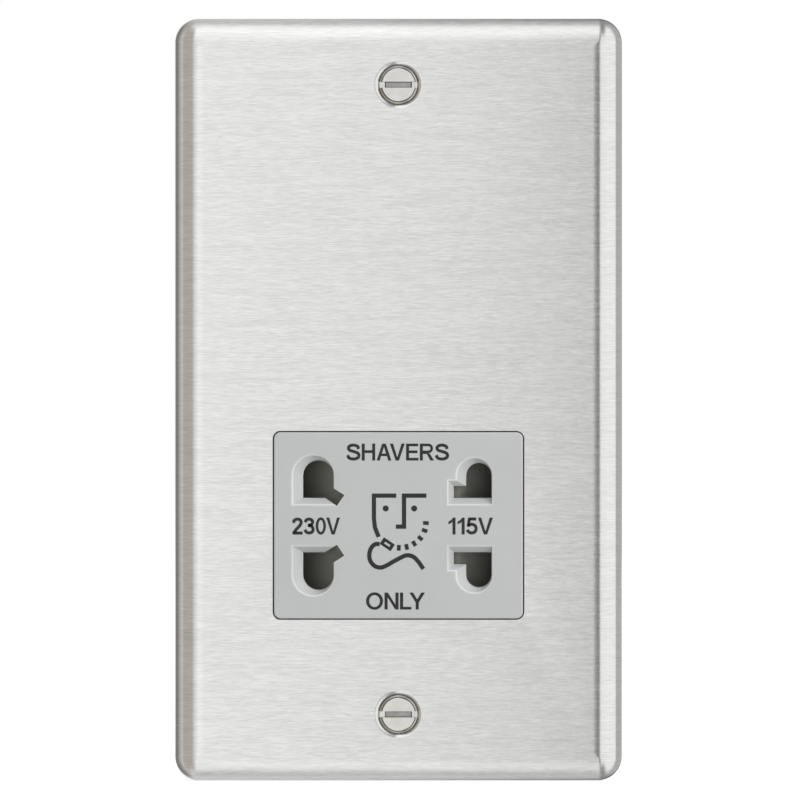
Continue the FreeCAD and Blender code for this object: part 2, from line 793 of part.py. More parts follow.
# Coil bobbin: tube on the centre leg with three flanges, which keeps the two windings apart
bobbin = new_body("coil_bobbin")
coil_y = s.core_front + s.core_stack / 2
tube_inner_width = core_leg + s.bobbin_gap * 2
tube_inner_depth = s.core_stack + s.bobbin_gap * 2
tube_width = tube_inner_width + s.bobbin_wall * 2
tube_depth = tube_inner_depth + s.bobbin_wall * 2
flange_width = core_leg + (core_window_width - s.bobbin_gap) * 2
bobbin_height = core_window_height - s.bobbin_gap * 2
bobbin_bottom = core_z - bobbin_height / 2
chamber = (bobbin_height - s.bobbin_flange * 3) / 2
tube = Sketch(bobbin, "tube_section", "plan", bobbin_bottom, centre=(0, coil_y))
tube.box(0, 0, tube_width, tube_depth)
tube.box(0, 0, tube_inner_width, tube_inner_depth)
pad(bobbin, "bobbin_tube", tube, bobbin_height)
for number in range(3):
    flange_level = bobbin_bottom + (chamber + s.bobbin_flange) * number
    flange = Sketch(bobbin, f"flange_section_{number}", "plan", flange_level, centre=(0, coil_y))
    flange.box(0, 0, flange_width, s.bobbin_depth)
    flange.box(0, 0, tube_inner_width, tube_inner_depth)
    pad(bobbin, f"bobbin_flange_{number}", flange, s.bobbin_flange)

# Windings: secondary in the lower chamber, primary in the upper one
winding_width = flange_width - s.winding_inset * 2
winding_depth = s.bobbin_depth - s.winding_inset * 2
for number, label in enumerate(("secondary_winding", "primary_winding")):
    winding = new_body(label)
    winding_level = bobbin_bottom + s.bobbin_flange + (chamber + s.bobbin_flange) * number
    ring = Sketch(winding, f"{label}_section", "plan", winding_level, centre=(0, coil_y))
    ring.box(0, 0, winding_width, winding_depth, s.winding_corner_radius)
    ring.box(0, 0, tube_width, tube_depth)
    pad(winding, f"{label}_ring", ring, chamber)

# Thermal cut-out: flat case against the left side of the core, a tag at each end
cutout = new_body("thermal_cutout")
core_side = -core_width / 2
cutout_outside = core_side - s.cutout_thickness
cutout_middle_x = core_side - s.cutout_thickness / 2
cutout_middle_y = s.cutout_front + s.cutout_width / 2
case = Sketch(cutout, "cutout_outline", "plan", core_z - s.cutout_length / 2)
case.rectangle(cutout_outside, core_side, s.cutout_front, s.cutout_front + s.cutout_width)
pad(cutout, "cutout_case", case, s.cutout_length)
tag_reach = s.cutout_length + s.cutout_tag_length * 2
tags = Sketch(cutout, "cutout_tag_outline", "plan", core_z - tag_reach / 2)
tags.box(cutout_middle_x, cutout_middle_y, s.cutout_tag_sheet, s.cutout_tag_width)
pad(cutout, "cutout_tags", tags, tag_reach)

# Rear housing: deep box over the transformer, stepped at the top for the terminal bay
housing = new_body("rear_housing")
outline = Sketch(housing, "housing_outline", "front", s.tray_rim)
outline.box(0, 0, s.body_width, s.body_height, s.body_corner_radius)
pad(housing, "housing_ledge", outline, s.bay_floor - s.tray_rim, reverse=True)
deep = Sketch(housing, "housing_deep_outline", "front", s.bay_floor)
deep.rectangle(-body_side, body_side, -body_top, bay_wall, s.body_corner_radius)
pad(housing, "housing_deep", deep, s.housing_back - s.bay_floor, reverse=True)
back_edges = edges_at_level(housing.Tip, s.housing_back)
chamfer(housing, "housing_back_edges", housing.Tip, back_edges, s.housing_edge_chamfer)
hollow = Sketch(housing, "ledge_hollow_outline", "front", s.tray_rim)
hollow.box(0, 0, inner_side * 2, inner_top * 2, inner_corner_radius)
cut(housing, "ledge_hollow", hollow, s.bay_floor - s.moulding_wall - s.tray_rim)
hollow = Sketch(housing, "deep_hollow_outline", "front", s.tray_rim)
hollow.rectangle(-inner_side, inner_side, -inner_top, bay_wall - s.moulding_wall, inner_corner_radius)
cut(housing, "deep_hollow", hollow, housing_floor - s.tray_rim)

bay = Sketch(housing, "bay_wall_outlines", "front", s.bay_floor)
for x in (
    live_edge,
    live_edge + s.bay_cell,
    live_edge + s.bay_cell * 2,
    earth_edge,
    earth_edge + s.bay_cell,
):
    half_wall = s.bay_wall_thickness / 2
    bay.rectangle(x - half_wall, x + half_wall, bay_wall - s.moulding_wall, body_top)
pad(housing, "bay_walls", bay, s.bay_wall_depth, reverse=True)

posts = Sketch(housing, "housing_post_outlines", "front", core_back)
for x, z in post_spots:
    posts.box(x, z, s.core_post_width, s.core_post_height)
pad(housing, "housing_posts", posts, housing_floor - core_back, reverse=True)
rib = Sketch(housing, "cutout_rib_outline", "front", s.cutout_front)
rib.rectangle(
    -inner_side,
    cutout_outside,
    core_z - s.cutout_rib / 2,
    core_z + s.cutout_rib / 2,
)
pad(housing, "cutout_rib", rib, housing_floor - s.cutout_front, reverse=True)
carrier_ribs = Sketch(housing, "carrier_rib_outlines", "front", carrier_back)
for side in (-1, 1):
    rib_x = (s.carrier_width / 2 - s.carrier_rib) * side
    carrier_ribs.box(rib_x, panel_z, s.carrier_rib, s.carrier_rib_height)
pad(housing, "carrier_ribs", carrier_ribs, housing_floor - carrier_back, reverse=True)
for level, spot, end in (("upper", upper_screw, s.bay_floor), ("lower", lower_screw, housing_floor)):
    tower = Sketch(housing, f"{level}_tower_outline", "front", s.tray_rim)
    tower.box(*spot, s.screw_tower_width, s.screw_tower_width)
    pad(housing, f"{level}_tower", tower, end - s.tray_rim, reverse=True)
holes = Sketch(housing, "housing_hole_outlines", "front", s.tray_rim)
wells = Sketch(housing, "housing_well_outlines", "front", s.housing_screw_seat)
for x, z in screw_spots:
    holes.circle(x, z, s.housing_screw_radius + s.fit_gap)
    wells.box(x, z, s.screw_well_width, s.screw_well_width)
cut(housing, "housing_holes", holes, s.housing_screw_seat - s.tray_rim)
cut(housing, "housing_wells", wells)
tangs = Sketch(housing, "tang_hole_outlines", "front", s.bay_floor - s.moulding_wall)
tang_hole = s.terminal_tang_width + s.seat_gap * 2
for x in terminal_spots.values():
    tangs.box(x, terminal_z, tang_hole, tang_hole)
cut(housing, "tang_holes", tangs, s.moulding_wall)
vents = Sketch(housing, "back_vent_outlines", "front", housing_floor)
for number in (-2, -1, 0, 1, 2):
    vents.box(0, core_z + s.vent_pitch * number, s.vent_length, s.vent_width)
cut(housing, "back_vents", vents, s.moulding_wall)
side_vents = Sketch(housing, "side_vent_outlines", "side", body_side)
for number in (-2, -1, 1, 2):
    vent_z = core_z + s.vent_pitch * number
    side_vents.box(coil_y + s.vent_pitch, vent_z, s.side_vent_length, s.vent_width)
right_vents = cut(housing, "right_vents", side_vents, s.moulding_wall)
mirror(housing, "left_vents", [right_vents], (origin_plane(housing, "YZ_Plane"), [""]))

# Terminals: brass blocks on the bay's floor, wire bore from above, clamp screw from the back
terminal_back = s.bay_floor + s.terminal_depth
terminal_top = bay_wall + s.terminal_height
for name, x in terminal_spots.items():
    terminal = new_body(f"{name}_terminal")
    block = Sketch(terminal, f"{name}_block_outline", "front", s.bay_floor)
    block.box(x, terminal_z, s.terminal_width, s.terminal_height)
    pad(terminal, f"{name}_block", block, s.terminal_depth, reverse=True)
    tang = Sketch(terminal, f"{name}_tang_outline", "front", s.bay_floor)
    tang.box(x, terminal_z, s.terminal_tang_width, s.terminal_tang_width)
    pad(terminal, f"{name}_tang", tang, s.terminal_tang_length)
    wire_bore = Sketch(terminal, f"{name}_bore_outline", "plan", terminal_top)
    wire_bore.circle(x, s.bay_floor + s.terminal_bore_level, s.terminal_bore_radius)
    cut(terminal, f"{name}_wire_bore", wire_bore, s.terminal_bore_depth)
    clamp = Sketch(terminal, f"{name}_clamp_outline", "front", s.bay_floor + s.terminal_bore_level)
    clamp.circle(x, terminal_z, s.terminal_screw_radius + s.seat_gap)
    cut(terminal, f"{name}_clamp_bore", clamp)

# Earth tag: tinned tag under the clip of the right weld stud
tag = new_body("earth_tag")
tag_x, tag_z = stud_spots[1]
outline = Sketch(tag, "earth_tag_outline", "front", tray_floor)
half_tag = s.earth_tag_width / 2
outline.rectangle(tag_x - half_tag, tag_x + half_tag, tag_z - half_tag, tag_z - half_tag + s.earth_tag_length)
outline.circle(tag_x, tag_z, s.stud_radius + s.seat_gap)
pad(tag, "earth_tag_strip", outline, s.earth_tag_sheet, reverse=True)

# Stud clips: square spring-steel push-on clips that hold the front body to the plate's studs
clips = new_body("stud_clips")
for number, (x, z) in enumerate(stud_spots):
    level = tray_floor + s.earth_tag_sheet * number
    clip = Sketch(clips, f"clip_outline_{number}", "front", level)
    clip.box(x, z, s.clip_width, s.clip_width)
    clip.box(x, z, s.stud_radius * 2 + s.seat_gap, s.stud_radius * 2 + s.seat_gap)
    pad(clips, f"clip_{number}", clip, s.clip_sheet, reverse=True)


LEAD_SIDES = 6
BEND_STEP = math.radians(22.5)


def bent_path(points, bend):
    """Points of a path whose inner corners are rounded in short straight steps."""
    spots = [FreeCAD.Vector(*(as_size(term).value for term in point)) for point in points]
    path = [spots[0]]
    for before, corner, after in zip(spots, spots[1:], spots[2:]):
        to_before = (before - corner).normalize()
        to_after = (after - corner).normalize()
        half_angle = to_before.getAngle(to_after) / 2
        centre = corner + (to_before + to_after).normalize() * (bend / math.sin(half_angle))
        start = corner + to_before * (bend / math.tan(half_angle)) - centre
        swing = math.pi - half_angle * 2
        axis = to_after.cross(to_before)
        steps = max(1, math.ceil(swing / BEND_STEP))
        for number in range(steps + 1):
            turned = FreeCAD.Rotation(axis, math.degrees(swing) * number / steps).multVec(start)
            path.append(centre + turned)
    path.append(spots[-1])
    return path


def lead(label, *runs):
    """Insulated wires; each run is a six-sided section swept along its bent path."""
    solids = []
    for points in runs:
        path = bent_path(points, s.lead_bend_radius.value)
        heading = path[1] - path[0]
        across = heading.cross(FreeCAD.Vector(0.6, 0.0, 0.8)).normalize() * s.lead_radius.value
        corners = []
        for number in range(LEAD_SIDES + 1):
            turned = FreeCAD.Rotation(heading, 360 * number / LEAD_SIDES).multVec(across)
            corners.append(path[0] + turned)
        section = Part.makePolygon(corners)
        solids.append(Part.makePolygon(path).makePipeShell([section], True, False, 1))
    new_shape(label, solids[0] if len(solids) == 1 else Part.makeCompound(solids))


# Leads: mains to the primary through the cut-out, secondary taps to the contacts, plate to earth
tang_end = s.bay_floor - s.terminal_tang_length
behind_core = (core_back + s.bobbin_depth / 2 + coil_y) / 2
before_core = (s.core_front + coil_y - s.bobbin_depth / 2) / 2
bobbin_top = bobbin_bottom + bobbin_height
cutout_top = core_z + tag_reach / 2
cutout_bottom = core_z - tag_reach / 2
tail_end = contact_seat + s.contact_tail
primary_level = bobbin_top - s.bobbin_flange - chamber / 2
lead(
    "primary_leads",
    [
        (s.live_x, tang_end, terminal_z),
        (s.live_x, tang_end - 3.5, terminal_z),
        (s.live_x - 2.5, tang_end - 3.5, core_top + 3.2),
        (cutout_middle_x, tang_end - 3, core_top - 0.5),
        (cutout_middle_x, cutout_middle_y, cutout_top + 5),
        (cutout_middle_x, cutout_middle_y, cutout_top),
    ],
    [
        (cutout_middle_x, cutout_middle_y, cutout_bottom),
        (cutout_middle_x, cutout_middle_y, cutout_bottom - 4),
        (cutout_middle_x, behind_core, cutout_bottom - 4),
        (cutout_middle_x, behind_core, primary_level),
        (-winding_width / 2, behind_core, primary_level),
    ],
    [
        (neutral_x, tang_end, terminal_z),
        (neutral_x, tang_end - 3.5, terminal_z),
        (neutral_x, before_core, core_top + 1.5),
        (neutral_x, before_core, bobbin_top),
    ],
)
upper_contact_z = panel_z + s.contact_z
lower_contact_z = panel_z - s.contact_z
tail_step = s.contact_tail_width / 2 - s.lead_radius
lead(
    "secondary_leads",
    [
        (uk_contact_x + 3, behind_core, bobbin_bottom),
        (uk_contact_x + 3, behind_core, core_bottom - 5),
        (uk_contact_x, behind_core, upper_contact_z),
        (uk_contact_x, tail_end, upper_contact_z),
    ],
    [
        (us_contact_x - 3, behind_core, bobbin_bottom),
        (us_contact_x - 3, behind_core, core_bottom - 5),
        (us_contact_x, behind_core, upper_contact_z),
        (us_contact_x, tail_end, upper_contact_z),
    ],
    [
        (0, behind_core, bobbin_bottom),
        (0, behind_core, lower_contact_z + 5),
        (uk_contact_x, behind_core, lower_contact_z + tail_step),
        (uk_contact_x, tail_end, lower_contact_z + tail_step),
    ],
    [
        (uk_contact_x, tail_end, lower_contact_z - tail_step),
        (uk_contact_x, tail_end + 3, lower_contact_z - tail_step),
        (us_contact_x, tail_end + 3, lower_contact_z - tail_step),
        (us_contact_x, tail_end, lower_contact_z - tail_step),
    ],
)
tag_end_z = tag_z - half_tag + s.earth_tag_length - s.lead_radius * 2
lead(
    "earth_lead",
    [
        (s.earth_x, tang_end, terminal_z),
        (s.earth_x, tang_end - 8, terminal_z),
        (tag_x, tang_end - 8, core_top - 4),
        (tag_x, tray_floor + s.earth_tag_sheet + 5, tag_end_z),
        (tag_x, tray_floor + s.earth_tag_sheet, tag_end_z),
    ],
)

document.recompute()
for item in document.Objects:
    if "Invalid" in item.State or "Error" in item.State:
        raise RuntimeError(f"{item.Label} is in error")
os.makedirs("parts", exist_ok=True)
for piece in pieces:
    if piece.Shape.isNull() or not piece.Shape.isValid():
        raise RuntimeError(f"{piece.Label} has no valid shape")
    piece.Shape.exportStep(f"parts/{piece.Label}.step")
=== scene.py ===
import math

import bmesh
import bpy
from mathutils import Matrix, Vector


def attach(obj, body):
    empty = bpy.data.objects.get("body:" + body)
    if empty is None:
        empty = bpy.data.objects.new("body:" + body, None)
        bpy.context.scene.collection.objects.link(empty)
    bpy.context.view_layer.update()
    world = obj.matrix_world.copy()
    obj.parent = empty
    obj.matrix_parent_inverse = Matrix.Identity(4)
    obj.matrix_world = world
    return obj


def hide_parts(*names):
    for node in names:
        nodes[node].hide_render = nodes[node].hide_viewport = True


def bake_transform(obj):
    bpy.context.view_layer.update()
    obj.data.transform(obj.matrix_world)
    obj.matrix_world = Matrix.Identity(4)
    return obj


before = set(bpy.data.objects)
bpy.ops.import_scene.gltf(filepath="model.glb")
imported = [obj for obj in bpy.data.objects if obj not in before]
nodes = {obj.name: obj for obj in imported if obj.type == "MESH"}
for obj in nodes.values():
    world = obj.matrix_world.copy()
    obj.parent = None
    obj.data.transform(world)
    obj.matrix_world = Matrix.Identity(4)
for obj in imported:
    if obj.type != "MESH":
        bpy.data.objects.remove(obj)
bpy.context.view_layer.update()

# Front plate
# One sheet of stainless steel, pressed into a shallow lid with a rounded rim, brushed level across,
# pierced for the outlet panel and dimpled for the heads of the two fixing screws.
MM = 0.001


def cad_corners(name):
    """Lowest and highest corner of a piece of the frame, in millimetres."""
    corners = [nodes[name].matrix_world @ Vector(corner) for corner in nodes[name].bound_box]
    return [
        [round(extreme(corner[axis] for corner in corners) / MM, 4) for axis in range(3)]
        for extreme in (min, max)
    ]


plate_low, plate_high = cad_corners("front_plate")
panel_low, panel_high = cad_corners("outlet_panel")
PLATE_HALF = (plate_high[0], plate_high[2])
PLATE_FRONT = plate_low[1]
PLATE_SHEET = 1.0
PLATE_BACK = PLATE_FRONT + PLATE_SHEET
RIM_RADIUS = 4.6
RIM_STEPS = 14
RIM_BURR = 0.15
RIM_LEAD = 1.2
RIM_SAG = 0.026
LEAD_STEPS = 4
LEAST_CORNER = 0.03
PANEL_CENTRE = (0.0, (panel_low[2] + panel_high[2]) / 2)
OPENING_HALF = (24.05, 18.05)
OPENING_CORNER = 1.5
OPENING_EDGE = 0.15
OPENING_ROUNDING = ((1.0, 0.0), (0.3, 0.3), (0.0, 1.0))
FIXING_SPACING = 120.6
FIXING_SPOTS = [(0.0, side * FIXING_SPACING / 2) for side in (1, -1)]
DIMPLE_RADIUS = 4.17
DIMPLE_EDGE = 1.0
DIMPLE_STEPS = 8
DIMPLE_HOLE = 2.05
DIMPLE_LIP = 0.6
STUD_SPOTS = [(-27.5, 10.0), (27.5, 10.0)]
STUD_RADIUS = 1.5
STUD_END = -0.2
STUD_CHAMFER = 0.2
CORNER_STEPS = 14
ROUND_STEPS = 64


def rounded_outline(half_width, half_height, radius, centre=(0.0, 0.0)):
    """Points of a rectangle with rounded corners, counter-clockwise seen from the front."""
    points = []
    for quarter, (side, level) in enumerate(((1, 1), (-1, 1), (-1, -1), (1, -1))):
        for step in range(CORNER_STEPS + 1):
            angle = math.pi / 2 * (quarter + step / CORNER_STEPS)
            x = centre[0] + side * (half_width - radius) + radius * math.cos(angle)
            z = centre[1] + level * (half_height - radius) + radius * math.sin(angle)
            points.append((x, z))
    return points


def round_outline(radius, centre, half_height=None):
    """Points of a circle, or of an oval where its half height is given too."""
    rise = half_height or radius
    turns = [2 * math.pi * step / ROUND_STEPS for step in range(ROUND_STEPS)]
    return [(centre[0] + radius * math.cos(turn), centre[1] + rise * math.sin(turn)) for turn in turns]


def lay_loop(mesh, points, depth):
    """Vertices of one outline, at one depth behind the wall plane, all in millimetres."""
    return [mesh.verts.new((x * MM, depth * MM, z * MM)) for x, z in points]


def join_loops(mesh, loops):
    """Walls between each loop and the next one."""
    for first, second in zip(loops, loops[1:]):
        for index in range(len(first)):
            after = (index + 1) % len(first)
            mesh.faces.new((first[index], first[after], second[after], second[index]))


def fill_between(mesh, loops):
    """A flat face inside the first loop and outside the others."""
    edges = []
    for loop in loops:
        for index, corner in enumerate(loop):
            pair = (corner, loop[(index + 1) % len(loop)])
            edges.append(mesh.edges.get(pair) or mesh.edges.new(pair))
    bmesh.ops.triangle_fill(mesh, edges=edges, use_beauty=True, use_dissolve=False)


def make_piece(name, mesh, finish, body="socket", sharp=40):
    """A new piece from a closed mesh, smooth apart from edges sharper than the angle given."""
    bmesh.ops.recalc_face_normals(mesh, faces=mesh.faces)
    data = bpy.data.meshes.new(name)
    mesh.to_mesh(data)
    mesh.free()
    data.shade_smooth()
    data.set_sharp_from_angle(angle=math.radians(sharp))
    piece = bpy.data.objects.new(name, data)
    bpy.context.scene.collection.objects.link(piece)
    data.materials.append(finish)
    evening = piece.modifiers.new("even_normals", "WEIGHTED_NORMAL")
    evening.keep_sharp = True
    if body:
        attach(piece, body)
    return piece


def node_adder(tree):
    """A function that adds a node to the tree, with its settings and its sockets' values or links."""

    def add(kind, sockets=None, **settings):
        item = tree.nodes.new(kind)
        for key, value in settings.items():
            setattr(item, key, value)
        for key, value in (sockets or {}).items():
            if isinstance(value, bpy.types.NodeSocket):
                tree.links.new(value, item.inputs[key])
            else:
                item.inputs[key].default_value = value
        return item

    return add


def new_finish(name):
    """A new material, its shader, and the functions that add nodes to it and link them."""
    finish = bpy.data.materials.new(name)
    finish.use_nodes = True
    tree = finish.node_tree
    return finish, tree.nodes["Principled BSDF"], node_adder(tree), tree.links.new


def stretched_noise(add, scale, detail, roughness):
    """Noise in the part's own space, with its own scale along each axis, per metre."""
    place = add("ShaderNodeTexCoord")
    spread = add("ShaderNodeMapping", {"Vector": place.outputs["Object"], "Scale": scale})
    return add(
        "ShaderNodeTexNoise",
        {"Vector": spread.outputs["Vector"], "Scale": 1.0, "Detail": detail, "Roughness": roughness},
    ).outputs["Fac"]


def shade_between(add, value, dark, light, low=0.35, high=0.65):
    """A colour that goes from dark to light as the value goes from low to high."""
    ramp = add("ShaderNodeValToRGB", {"Fac": value})
    for stop, position, colour in zip(ramp.color_ramp.elements, (low, high), (dark, light)):
        stop.position = position
        stop.color = (*colour, 1.0)
    return ramp.outputs["Color"]


NOISE_SPREAD = {"From Min": 0.3, "From Max": 0.7}


def vary_roughness(add, link, shader, noise, limits):
    """Roughness that follows the noise from one limit to the other."""
    spread = {**NOISE_SPREAD, "To Min": limits[0], "To Max": limits[1]}
    rough = add("ShaderNodeMapRange", {"Value": noise, **spread})
    link(rough.outputs["Result"], shader.inputs["Roughness"])


def emboss(add, link, shader, noise, strength, depth):
    """A fine relief that follows the noise; its depth is in metres."""
    relief = add("ShaderNodeBump", {"Height": noise, "Strength": strength, "Distance": depth})
    link(relief.outputs["Normal"], shader.inputs["Normal"])


PATCH_GRAIN = (90.0, 90.0, 1100.0)
PATCH_SHARE = 0.25
SCRATCH_DEPTH = 0.00003


def brushed_steel(name, dark, light, grain, roughness, bump):
    """Steel with a level grain: short fine scratches that spread its highlights up and down."""
    finish, shader, add, link = new_finish(name)
    scratches = stretched_noise(add, grain, detail=3.0, roughness=0.6)
    patches = stretched_noise(add, PATCH_GRAIN, detail=2.0, roughness=0.5)
    both = add("ShaderNodeMix", {"Factor": PATCH_SHARE, "A": scratches, "B": patches}).outputs["Result"]
    link(shade_between(add, both, dark, light), shader.inputs["Base Color"])
    vary_roughness(add, link, shader, scratches, roughness)
    emboss(add, link, shader, scratches, bump, SCRATCH_DEPTH)
    upright = add("ShaderNodeCombineXYZ", {"Z": 1.0})
    link(upright.outputs["Vector"], shader.inputs["Tangent"])
    shader.inputs["Metallic"].default_value = 1.0
    shader.inputs["Anisotropic"].default_value = 1.0
    return finish


plate_steel = brushed_steel(
    "plate_steel",
    dark=(0.625, 0.625, 0.617),
    light=(0.765, 0.765, 0.757),
    grain=(450.0, 450.0, 6000.0),
    roughness=(0.16, 0.22),
    bump=0.35,
)


def rim_loops(mesh, inset, burr_side):
    """Loops of one skin of the rim, from the wall plane over the rounding and its faint lead to the flat."""
    loops = []
    steps = [(burr_side * RIM_BURR, 0.0), (0.0, -RIM_BURR)]
    radius = RIM_RADIUS - inset
    for step in range(RIM_STEPS + 1):
        angle = math.pi / 2 * step / RIM_STEPS
        depth = PLATE_FRONT + RIM_SAG + RIM_RADIUS - radius * math.sin(angle)
        steps.append((radius * (1 - math.cos(angle)), depth))
    for step in range(1, LEAD_STEPS + 1):
        share = step / LEAD_STEPS
        steps.append((radius + RIM_LEAD * share, PLATE_FRONT + inset + RIM_SAG * (1 - share) ** 2))
    for shift, depth in steps:
        corner = max(radius - shift, LEAST_CORNER)
        half = [side - inset - shift for side in PLATE_HALF]
        loops.append(lay_loop(mesh, rounded_outline(*half, corner), depth))
    return loops


def round_wall(mesh, rows, spot):
    """Loops and walls of a round hole or stud; each row is a radius and a depth."""
    loops = [lay_loop(mesh, round_outline(radius, spot), depth) for radius, depth in rows]
    join_loops(mesh, loops)
    return loops


plate = bmesh.new()
outer_skin = rim_loops(plate, 0.0, 1)
inner_skin = rim_loops(plate, PLATE_SHEET, -1)
join_loops(plate, outer_skin)
join_loops(plate, inner_skin)
join_loops(plate, [outer_skin[0], inner_skin[0]])
opening = []
opening_rows = [(out * OPENING_EDGE, PLATE_FRONT + down * OPENING_EDGE) for out, down in OPENING_ROUNDING]
for grow, depth in opening_rows + [(0.0, PLATE_BACK)]:
    half = [side + grow for side in OPENING_HALF]
    opening.append(lay_loop(plate, rounded_outline(*half, OPENING_CORNER + grow, PANEL_CENTRE), depth))
join_loops(plate, opening)
front_holes = [opening[0]]
back_holes = [opening[-1]]
cone_end = PLATE_FRONT + DIMPLE_RADIUS - DIMPLE_HOLE
lip_back = cone_end + DIMPLE_LIP
skin_radius = DIMPLE_RADIUS + PLATE_SHEET * math.sqrt(2)
edge_reach = DIMPLE_EDGE * math.tan(math.pi / 8)
dimple_rows = []
for step in range(DIMPLE_STEPS + 1):
    angle = math.pi / 4 * step / DIMPLE_STEPS
    radius = DIMPLE_RADIUS + edge_reach - DIMPLE_EDGE * math.sin(angle)
    dimple_rows.append((radius, PLATE_FRONT + DIMPLE_EDGE * (1 - math.cos(angle))))
dimple_rows += [(DIMPLE_HOLE, cone_end), (DIMPLE_HOLE, lip_back)]
dimple_rows += [(skin_radius - (lip_back - PLATE_FRONT), lip_back), (skin_radius - PLATE_SHEET, PLATE_BACK)]
for spot in FIXING_SPOTS:
    dimple = round_wall(plate, dimple_rows, spot)
    front_holes.append(dimple[0])
    back_holes.append(dimple[-1])
stud_rows = [(STUD_RADIUS, PLATE_BACK), (STUD_RADIUS, STUD_END - STUD_CHAMFER)]
stud_rows.append((STUD_RADIUS - STUD_CHAMFER, STUD_END))
for spot in STUD_SPOTS:
    stud = round_wall(plate, stud_rows, spot)
    plate.faces.new(stud[-1])
    back_holes.append(stud[0])
fill_between(plate, [outer_skin[-1]] + front_holes)
fill_between(plate, [inner_skin[-1]] + back_holes)
plate_piece = make_piece("pressed_plate", plate, plate_steel)
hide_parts("front_plate")

# Fixing screws
# Two M3.5 machine screws with slotted raised heads, nickel-plated steel with a rolled thread.
# They pass through the dimples and draw the plate onto the lugs of the wall box.
HEAD_TOP = -5.93
HEAD_RIM = -5.4
HEAD_RADIUS = 3.7
HEAD_BREAK = 0.05
BREAK_SLOPE = 0.06
CROWN_RADIUS = 3.22
CROWN_ROUNDING = 0.15
CROWN_STEPS = 5
CROWN_FOOT = -5.62
CROWN_FLARE = 0.03
SEAM = 0.15
SEAM_SLOPE = 0.04
NECK_START = -3.25
NECK_RADIUS = 1.55
NECK_TAPER = 0.15
THREAD_START = -1.0
THREAD_LEAD = 0.05
THREAD_END = 24.0
THREAD_RADIUS = 1.75
THREAD_CORE = 1.38
THREAD_PITCH = 0.6
THREAD_ROWS = 6
CREST_POWER = 0.8
POINT_LENGTH = 0.5
POINT_INSET = 0.35
DRIVE_WIDTH = 1.15
DRIVE_LENGTH = HEAD_RADIUS * 2.2
DRIVE_FLOOR = -5.36
DRIVE_CLEARANCE = 0.5
DRIVE_SHADE = 2.6
DRIVE_EDGE = 0.12
DRIVE_END = 0.24
LEVEL_SLACK = 0.01
SLOT_SLACK = 0.02
CROWN_SHADE = 0.08
RIM_SLACK = 0.1
# Darker copies of the screws' nickel, painted shade on the heads: grey on the slot floor, near-black along
# the slot's sides and ends and in the creases at the crown's foot and the head's rim, and a darker nickel on
# the bevel ring.
HEAD_PAINTED_SHADES = {
    "slot_painted_shade": ((0.32, 0.32, 0.31), (0.44, 0.44, 0.43), (0.35, 0.45)),
    "bevel_painted_shade": ((0.45, 0.44, 0.40), (0.55, 0.54, 0.49), (0.3, 0.4)),
    "crease_painted_shade": ((0.11, 0.107, 0.095), (0.17, 0.165, 0.145), (0.4, 0.5)),
}


def turned(mesh, section, spot):
    """A closed solid of revolution; each row of the section is a depth and a radius, or a radius rule."""
    rows = []
    for depth, radius in section:
        points = []
        for step in range(ROUND_STEPS):
            angle = 2 * math.pi * step / ROUND_STEPS
            reach = radius(angle) if callable(radius) else radius
            points.append((spot[0] + reach * math.cos(angle), spot[1] + reach * math.sin(angle)))
        rows.append(lay_loop(mesh, points, depth))
    join_loops(mesh, rows)
    mesh.faces.new(rows[0])
    mesh.faces.new(rows[-1])


def thread_section(start, end, outside, core, pitch):
    """Rows of a helical thread, run out to its core at both ends."""
    count = round((end - start) / pitch * THREAD_ROWS)
    rows = []
    for number in range(count + 1):
        depth = start + (end - start) * number / count
        run_out = min(1.0, (depth - start) / pitch, (end - depth) / pitch)

        def reach(angle, depth=depth, run_out=run_out):
            wave = (depth / pitch + angle / (2 * math.pi)) % 1.0
            return core + (outside - core) * run_out * (1 - abs(2 * wave - 1)) ** CREST_POWER

        rows.append((depth, reach))
    return rows


def cut_slot(mesh, spot, width, length, floor, top, turn=0.0):
    """Mills a driver slot across the head of one screw."""
    solid = bpy.data.objects.new("screw_blank", bpy.data.meshes.new("screw_blank"))
    bmesh.ops.recalc_face_normals(mesh, faces=mesh.faces)
    mesh.to_mesh(solid.data)
    cutter_mesh = bmesh.new()
    bmesh.ops.create_cube(cutter_mesh, size=1.0)
    size = Matrix.Diagonal((length * MM, abs(top - floor) * MM, width * MM, 1.0))
    place = Matrix.Translation((spot[0] * MM, (top + floor) / 2 * MM, spot[1] * MM))
    cutter_mesh.transform(place @ Matrix.Rotation(turn, 4, "Y") @ size)
    cutter = bpy.data.objects.new("slot_cutter", bpy.data.meshes.new("slot_cutter"))
    cutter_mesh.to_mesh(cutter.data)
    cutter_mesh.free()
    for item in (solid, cutter):
        bpy.context.scene.collection.objects.link(item)
    milled = solid.modifiers.new("slot", "BOOLEAN")
    milled.operation = "DIFFERENCE"
    milled.solver = "EXACT"
    milled.object = cutter
    bpy.context.view_layer.update()
    result = bpy.data.meshes.new_from_object(solid.evaluated_get(bpy.context.evaluated_depsgraph_get()))
    mesh.clear()
    mesh.from_mesh(result)
    for item in (solid, cutter):
        bpy.data.objects.remove(item)
    bpy.data.meshes.remove(result)


def score_floor(screw, height):
    """Cuts lines in the floor of a driver slot, where the painted shade along its sides and ends begins."""
    for side in (-1, 1):
        edge = height + side * (DRIVE_WIDTH / 2 - DRIVE_EDGE)
        ends = [side * (DRIVE_SHADE - inset) for inset in (0.0, DRIVE_END)]
        lines = [((end * MM, 0.0, 0.0), (1.0, 0.0, 0.0)) for end in ends]
        lines.append(((0.0, 0.0, edge * MM), (0.0, 0.0, 1.0)))
        for spot, across in lines:
            parts = {}
            for face in screw.faces:
                if abs(face.calc_center_median().y / MM - DRIVE_FLOOR) < LEVEL_SLACK:
                    parts.update(dict.fromkeys((face, *face.edges, *face.verts)))
            bmesh.ops.bisect_plane(screw, geom=list(parts), plane_co=spot, plane_no=across)


